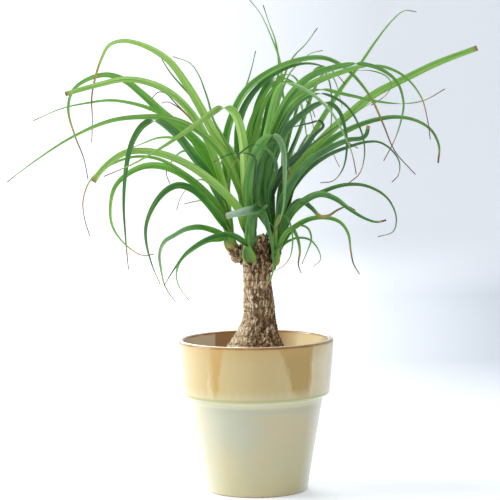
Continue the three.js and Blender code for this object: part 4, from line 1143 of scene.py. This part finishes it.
        (7, 25, 0.12, -0.2, 0.06, [(16, 5, 290), (17, 12, 332), (20, 26, 360), (22, 50, 374),
            (21, 82, 370), (19, 112, 348), (17, 136, 316)]),
        (7, 15, 0.12, -0.1, 0.08, [(3, 12, 278), (4, 28, 316), (6, 54, 340), (8, 90, 344), (10, 126, 328),
            (13, 156, 299)]),
        (9.5, 25, 0.1, -0.3, 0.05, [(1, 7, 284), (0, 18, 322), (5, 30, 352), (14, 44, 371), (22, 66, 378),
            (28, 96, 368), (32, 122, 347), (35, 140, 320)]),
        (8, 20, 0.1, -0.1, 0.06, [(7, 7, 288), (11, 16, 330), (18, 28, 360), (27, 46, 378), (37, 68, 380),
            (47, 92, 368), (55, 112, 346), (60, 126, 324)]),
        (4, 30, 0.1, 0.2, 0.05, [(12, 6, 302), (23, 12, 352), (35, 17, 383), (45, 19, 393),
            (54, 21, 400.5), (66, 23, 403.5)]),
        (4, 30, 0.1, 0.2, 0.05, [(10, 13, 302), (21, 24, 352), (37, 31, 395), (51, 34, 410),
            (61.5, 37, 424)]),
        (4.5, 30, 0.08, 0.2, 0.05, [(7, 15, 304), (17, 22, 352), (25, 24, 386), (22.5, 25, 412),
            (16.5, 27, 430), (11.5, 29, 446)]),
        (5, 30, 0.06, 0.3, 0.05, [(10, 3, 296), (20, 7, 340), (27.5, 10, 374), (26, 11, 395),
            (18, 13, 418), (9, 14, 438), (-1, 15, 451)]),
    ],
}


def leafGreen():
    material, tree, shader = newMaterial("strapLeaf")
    along, side = attributeOf(tree, "along"), attributeOf(tree, "side")
    toneAndPaintedLight, dryness, leafKey = (attributeOf(tree, name) for name in ("toneAndPaintedLight", "dryness", "leafKey"))
    sockets = {0: times(tree, side, 4.2), 1: times(tree, along, 2.0), 2: leafKey}
    veins = noiseOf(tree, put(tree, "ShaderNodeCombineXYZ", sockets).outputs[0], 1.0, 4.0, 0.7)
    sockets = {0: side, 1: times(tree, along, 7.0), 2: leafKey}
    clouds = noiseOf(tree, put(tree, "ShaderNodeCombineXYZ", sockets).outputs[0], 1.0, 3.0, 0.5)
    # painted light and shade: a leaf's listed brightness, besides its own tone, darkens leaves in shade and
    # lightens lit ones
    light = plus(tree, times(tree, toneAndPaintedLight, 1.2), strayed(tree, clouds, 0.9))
    light = mapped(tree, plus(tree, light, strayed(tree, veins, 2.0)), -1.0, 1.0)
    green = ramp(tree, light, [(0.06, linear(14, 54, 32)), (0.32, linear(54, 118, 50)),
                               (0.58, linear(126, 190, 76)), (0.90, linear(200, 232, 128))])
    # yellow-green at the foot of the brighter leaves: partly the base's own paler colour, partly painted
    # glow of light through it
    foot = times(tree, mapped(tree, along, 0.03, 0.30, 0.8, 0.0), mapped(tree, toneAndPaintedLight, -0.3, 0.4, 0.05, 1.0))
    green = tinted(tree, foot, green, (146, 200, 44))
    across = maths(tree, "ABSOLUTE", side)
    # painted highlight: pale lines along the margins
    green = tinted(tree, mapped(tree, across, 0.80, 0.98, 0.0, 0.6), green, (170, 208, 112))
    green = tinted(tree, mapped(tree, across, 0.0, 0.16, 0.35, 0.0), green, (60, 122, 52))
    # painted sheen: a pale whitish green where the blades reflect the bright surroundings
    sheenHere = times(tree, attributeOf(tree, "paintedSheen"), maths(tree, "MULTIPLY_ADD", clouds, 0.5, 0.1))
    green = tinted(tree, mapped(tree, sheenHere, 0.0, 1.0), green, (206, 228, 206))
    straw = ramp(tree, plus(tree, dryness, strayed(tree, veins, 0.5)),
                 [(0.15, linear(178, 180, 92)), (0.45, linear(194, 170, 106)), (0.75, linear(168, 134, 86)),
                  (1.0, linear(126, 98, 68))])
    withering = mapped(tree, plus(tree, dryness, times(tree, veins, 0.2)), 0.12, 0.42)
    colour = blendColour(tree, withering, green, straw)
    tree.links.new(colour, shader.inputs["Base Color"])
    tree.links.new(mapped(tree, withering, 0.0, 1.0, 0.42, 0.7), shader.inputs["Roughness"])
    shader.inputs["Specular IOR Level"].default_value = 0.5
    shader.inputs["Sheen Weight"].default_value = 0.25
    shader.inputs["Sheen Roughness"].default_value = 0.35
    bumped(tree, shader, veins, 0.35, 0.0004)
    # light comes through the blade
    glow = tree.nodes.new("ShaderNodeBsdfTranslucent")
    lit = blendColour(tree, 0.5, colour, linear(150, 210, 40))
    lit = blendColour(tree, withering, lit, colour)
    tree.links.new(lit, glow.inputs["Color"])
    both = put(tree, "ShaderNodeMixShader", {0: 0.30, 1: shader.outputs[0], 2: glow.outputs[0]})
    tree.links.new(both.outputs[0], tree.nodes["Material Output"].inputs["Surface"])
    return material


def bladeTree():
    numbers = {"Sides": 22, "Channel": 0.4, "Thickness": 0.1, "Clasp": 0.5, "Wave Depth": 0.05,
               "Wave Count": 5.0}
    tree, given, result = newTree("blades", numbers, [("Material", "NodeSocketMaterial")])
    ribs = put(tree, "GeometryNodeMeshToCurve", {"Mesh": given.outputs["Geometry"]}).outputs[0]
    ribs = put(tree, "GeometryNodeSetCurveNormal", {"Curve": ribs, "Normal": namedVector(tree, "across")},
               mode="FREE").outputs[0]
    # cross section: a flat ring folded into a shallow channel
    sockets = {"Resolution": given.outputs["Sides"], "Radius": 1.0}
    ring = put(tree, "GeometryNodeCurvePrimitiveCircle", sockets)
    x, y = axesOf(tree, tree.nodes.new("GeometryNodeInputPosition").outputs[0])[:2]
    rise = maths(tree, "POWER", maths(tree, "ABSOLUTE", x), 1.35)
    rise = times(tree, rise, given.outputs["Channel"])
    rise = plus(tree, rise, times(tree, y, given.outputs["Thickness"]))
    folded = put(tree, "ShaderNodeCombineXYZ", {0: x, 1: rise, 2: 0.0}).outputs[0]
    section = storedNumber(tree, ring.outputs[0], "side", x)
    section = put(tree, "GeometryNodeSetPosition", {"Geometry": section, "Position": folded}).outputs[0]
    sockets = {"Curve": ribs, "Profile Curve": section, "Scale": namedNumber(tree, "halfWidth"),
               "Fill Caps": True}
    blades = put(tree, "GeometryNodeCurveToMesh", sockets).outputs[0]
    # margins wave a little, more towards the tip
    along, side = namedNumber(tree, "along"), namedNumber(tree, "side")
    phase = maths(tree, "MULTIPLY_ADD", along, times(tree, given.outputs["Wave Count"], 6.283),
                  namedNumber(tree, "leafKey"))
    phase = plus(tree, phase, side)
    wave = times(tree, maths(tree, "SINE", phase), times(tree, side, side))
    for factor in (given.outputs["Wave Depth"], namedNumber(tree, "halfWidth"),
                   mapped(tree, along, 0.05, 0.3)):
        wave = times(tree, wave, factor)
    # the foot clasps the ones inside it
    clasp = times(tree, maths(tree, "POWER", maths(tree, "ABSOLUTE", side), 1.5),
                  mapped(tree, along, 0.0, 0.12, given.outputs["Clasp"], 0.0))
    wave = maths(tree, "MULTIPLY_ADD", clasp, namedNumber(tree, "halfWidth"), wave)
    offset = scaled(tree, namedVector(tree, "faceUp"), wave)
    waved = put(tree, "GeometryNodeSetPosition", {"Geometry": blades, "Offset": offset}).outputs[0]
    closeTree(tree, waved, given, result)
    return tree


def unit(vector):
    return vector / max(np.linalg.norm(vector), 1e-9)


def midrib(head, points, age):
    # the foot of a leaf is higher up the core the younger the leaf is
    lean, base = unit(np.array(head["lean"], float)), np.array(head["base"], float)
    points = [np.array(p, float) for p in points]
    height = core["footFrom"] + core["footRise"] * age
    outwards = points[0] - base
    outwards = unit(outwards - lean * outwards.dot(lean))
    foot = base + lean * height + outwards * core["footOut"]
    sheath = base + lean * (height + core["sheathRise"]) + outwards * core["sheathOut"]
    return [foot, sheath] + points


def smoothPath(points, count):
    # centripetal spline through the points, cut into even steps
    pts = [2 * points[0] - points[1]] + points + [2 * points[-1] - points[-2]]
    fine = []
    for i in range(len(points) - 1):
        p0, p1, p2, p3 = pts[i:i + 4]
        d0, d1, d2 = (max(np.linalg.norm(b - a) ** 0.5, 1e-4) for a, b in ((p0, p1), (p1, p2), (p2, p3)))
        t1 = ((p1 - p0) / d0 - (p2 - p0) / (d0 + d1) + (p2 - p1) / d1) * d1
        t2 = ((p2 - p1) / d1 - (p3 - p1) / (d1 + d2) + (p3 - p2) / d2) * d1
        fine += [splineStep(t, p1, t1, p2, t2) for t in np.arange(0, 1, 0.04)]
    fine = np.array(fine + [points[-1]])
    lengths = np.concatenate([[0], np.cumsum(np.linalg.norm(np.diff(fine, axis=0), axis=1))])
    steps = np.linspace(0, lengths[-1], count + 1)
    return np.stack([np.interp(steps, lengths, fine[:, k]) for k in range(3)], axis=1)


def facesOf(alongs, heading, turn, key):
    # the upper face looks inwards and up, turned to the front by the leaf's own angle, its twist evened out
    count = len(alongs) - 1
    front, level = np.array((0.0, -1.0, 0.0)), np.cross((0.0, 0.0, 1.0), heading)
    forward = heading[1] < blade["comesForward"]
    faces = []
    for i, along in enumerate(alongs):
        t = i / count
        natural = unit(np.cross(along, level))
        toFront = front - along * front.dot(along)
        share = min(max(4 * natural.dot(front), -1.0), 1.0) if forward else 1.0
        angle = math.radians(turn) * float(smoothStep(t, 0.0, 0.16))
        sway = math.sin(key * 3.1 + t * 7.0) * float(smoothStep(t, 0.1, 0.5))
        angle += math.radians(blade["wobble"]) * sway
        faces.append(natural * math.cos(angle) + toFront * (math.sin(angle) * share))
    even = blade["even"]
    return [np.sum(faces[max(i - even, 0):i + even + 1], axis=0) for i in range(count + 1)]


def leafStations(head, row, age, key):
    width, turn, end, toneAndPaintedLight, dry, points = row
    count = blade["stations"]
    places = smoothPath(midrib(head, points, age), count)
    alongs = [unit(places[min(i + 1, count)] - places[max(i - 1, 0)]) for i in range(count + 1)]
    heading = unit((places[count // 2] - places[0]) * (1.0, 1.0, 0.0))
    rows = []
    for i, face in enumerate(facesOf(alongs, heading, turn, key)):
        across = unit(np.cross(face, alongs[i]))
        t = i / count
        flare = blade["foot"] + (1 - blade["foot"]) * float(smoothStep(t, 0.0, 0.14))
        pinch = 0.0 if end > blade["trimmed"] else blade["pinch"] * min(max((width - 4) / 4.5, 0.0), 1.0)
        drawn = 1 - pinch * float(smoothStep(t, 0.45, 0.9))
        half = max(width * flare * (1 - (1 - end) * t ** blade["taper"]) * drawn, blade["narrowest"]) / 2
        dryness = float(smoothStep(t, 1 - dry, 1 - dry * 0.25)) if dry > 0 else 0.0
        rows.append((places[i], across, np.cross(alongs[i], across), half, t, toneAndPaintedLight, dryness, key))
    return rows


def makeCore(name, head, material):
    slim, short, toneAndPaintedLight, dryness = head["sheath"]
    outline = [(0.0, 0.0)]
    given = np.array(core["outline"], float)
    for z in np.linspace(given[0, 1], given[-1, 1], core["rows"]):
        outline.append((float(np.interp(z, given[:, 1], given[:, 0])) * slim, z * short))
    outline.append((0.0, core["height"] * short))
    points, faces = spun(outline, core["sectors"])
    edges = []
    for p in points:
        # each sheath laps over the next; its edge is painted lighter as a highlight, and just beyond the
        # next one's edge it is painted darker as shade
        turns = core["sheaths"] * math.atan2(p[1], p[0]) / (2 * math.pi) + p[2] * core["slant"]
        lap = turns - math.floor(turns)
        p[:2] *= 1 + core["sheathDepth"] * (lap - 0.5)
        edges.append(lap)
    turn = Vector((0, 0, 1)).rotation_difference(Vector(head["lean"]).normalized())
    placed = [(turn @ Vector(p) + Vector(head["base"])) / perMetre for p in points]
    piece = meshPiece(name, placed, faces, material)
    values = {"along": [0.02 + max(p[2], 0) * 0.006 for p in points],
              "side": [0.2 + 0.8 * lap ** 3 for lap in edges],
              "toneAndPaintedLight": [toneAndPaintedLight + core["sheathShade"] * (lap - 0.6) for lap in edges],
              "dryness": [dryness * (1 - min(p[2] / 14, 1)) for p in points],
              "leafKey": [3.0] * len(points), "paintedSheen": [0.0] * len(points)}
    for label, numbers in values.items():
        piece.data.attributes.new(label, "FLOAT", "POINT").data.foreach_set("value", numbers)
    return piece


def makeHead(side, tree, material):
    head = heads[side]
    table = leafTable[side]
    points, edges = [], []
    names = ("across", "faceUp", "halfWidth", "along", "toneAndPaintedLight", "dryness", "leafKey", "paintedSheen")
    columns = {name: [] for name in names}
    sheenHere = paintedSheenLeaves.get(side, {})
    for i, row in enumerate(table):
        age = i / (len(table) - 1)
        key = rng.uniform(0, 40)
        start = len(points)
        for place, across, up, half, t, tint, dryness, leafKey in leafStations(head, row, age, key):
            points.append(place / perMetre)
            paintedSheen = float(smoothStep(t, *sheenHere[i][:2])) * sheenHere[i][2] if i in sheenHere else 0.0
            paintedSheen = max(paintedSheen, blade["paintedSheen"] * float(smoothStep(t, 0.25, 0.55)))
            values = (across, up, half / perMetre, t, tint, dryness, leafKey, paintedSheen)
            for name, value in zip(columns, values):
                columns[name].append(value)
        edges += [(k, k + 1) for k in range(start, len(points) - 1)]
    mesh = bpy.data.meshes.new("midribs")
    mesh.from_pydata([tuple(p) for p in points], edges, [])
    for name, values in columns.items():
        if name in ("across", "faceUp"):
            flat = np.array(values, float).ravel()
            mesh.attributes.new(name, "FLOAT_VECTOR", "POINT").data.foreach_set("vector", flat)
        else:
            mesh.attributes.new(name, "FLOAT", "POINT").data.foreach_set("value", np.array(values, float))
    blades = bpy.data.objects.new("blades", mesh)
    bpy.context.scene.collection.objects.link(blades)
    grown(blades, tree, {
        "Sides": blade["sides"], "Channel": blade["channel"], "Thickness": blade["thickness"],
        "Clasp": blade["clasp"], "Wave Depth": blade["waveDepth"], "Wave Count": blade["waveCount"],
        "Material": material})
    piece = joined(side + "HeadOfLeaves", [blades, makeCore(side + "Core", head, material)])
    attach(piece, "root")
    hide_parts("leaves_" + side + "_head")
    print("  " + side + " head:", len(table), "leaves,", len(piece.data.polygons), "faces")


# leaves with a painted pale sheen, by their row in the table: the stretch over which it starts, its strength
paintedSheenLeaves = {
    "left": {0: (0.3, 0.5, 1.0), 1: (0.25, 0.45, 1.0)},
    "front": {4: (0.66, 0.86, 2.0), 6: (0.5, 0.6, 1.0)},
    "top": {12: (0.5, 0.7, 1.0)},
}

leafMaterial = leafGreen()
sweptBlades = bladeTree()
for side in heads:
    makeHead(side, sweptBlades, leafMaterial)
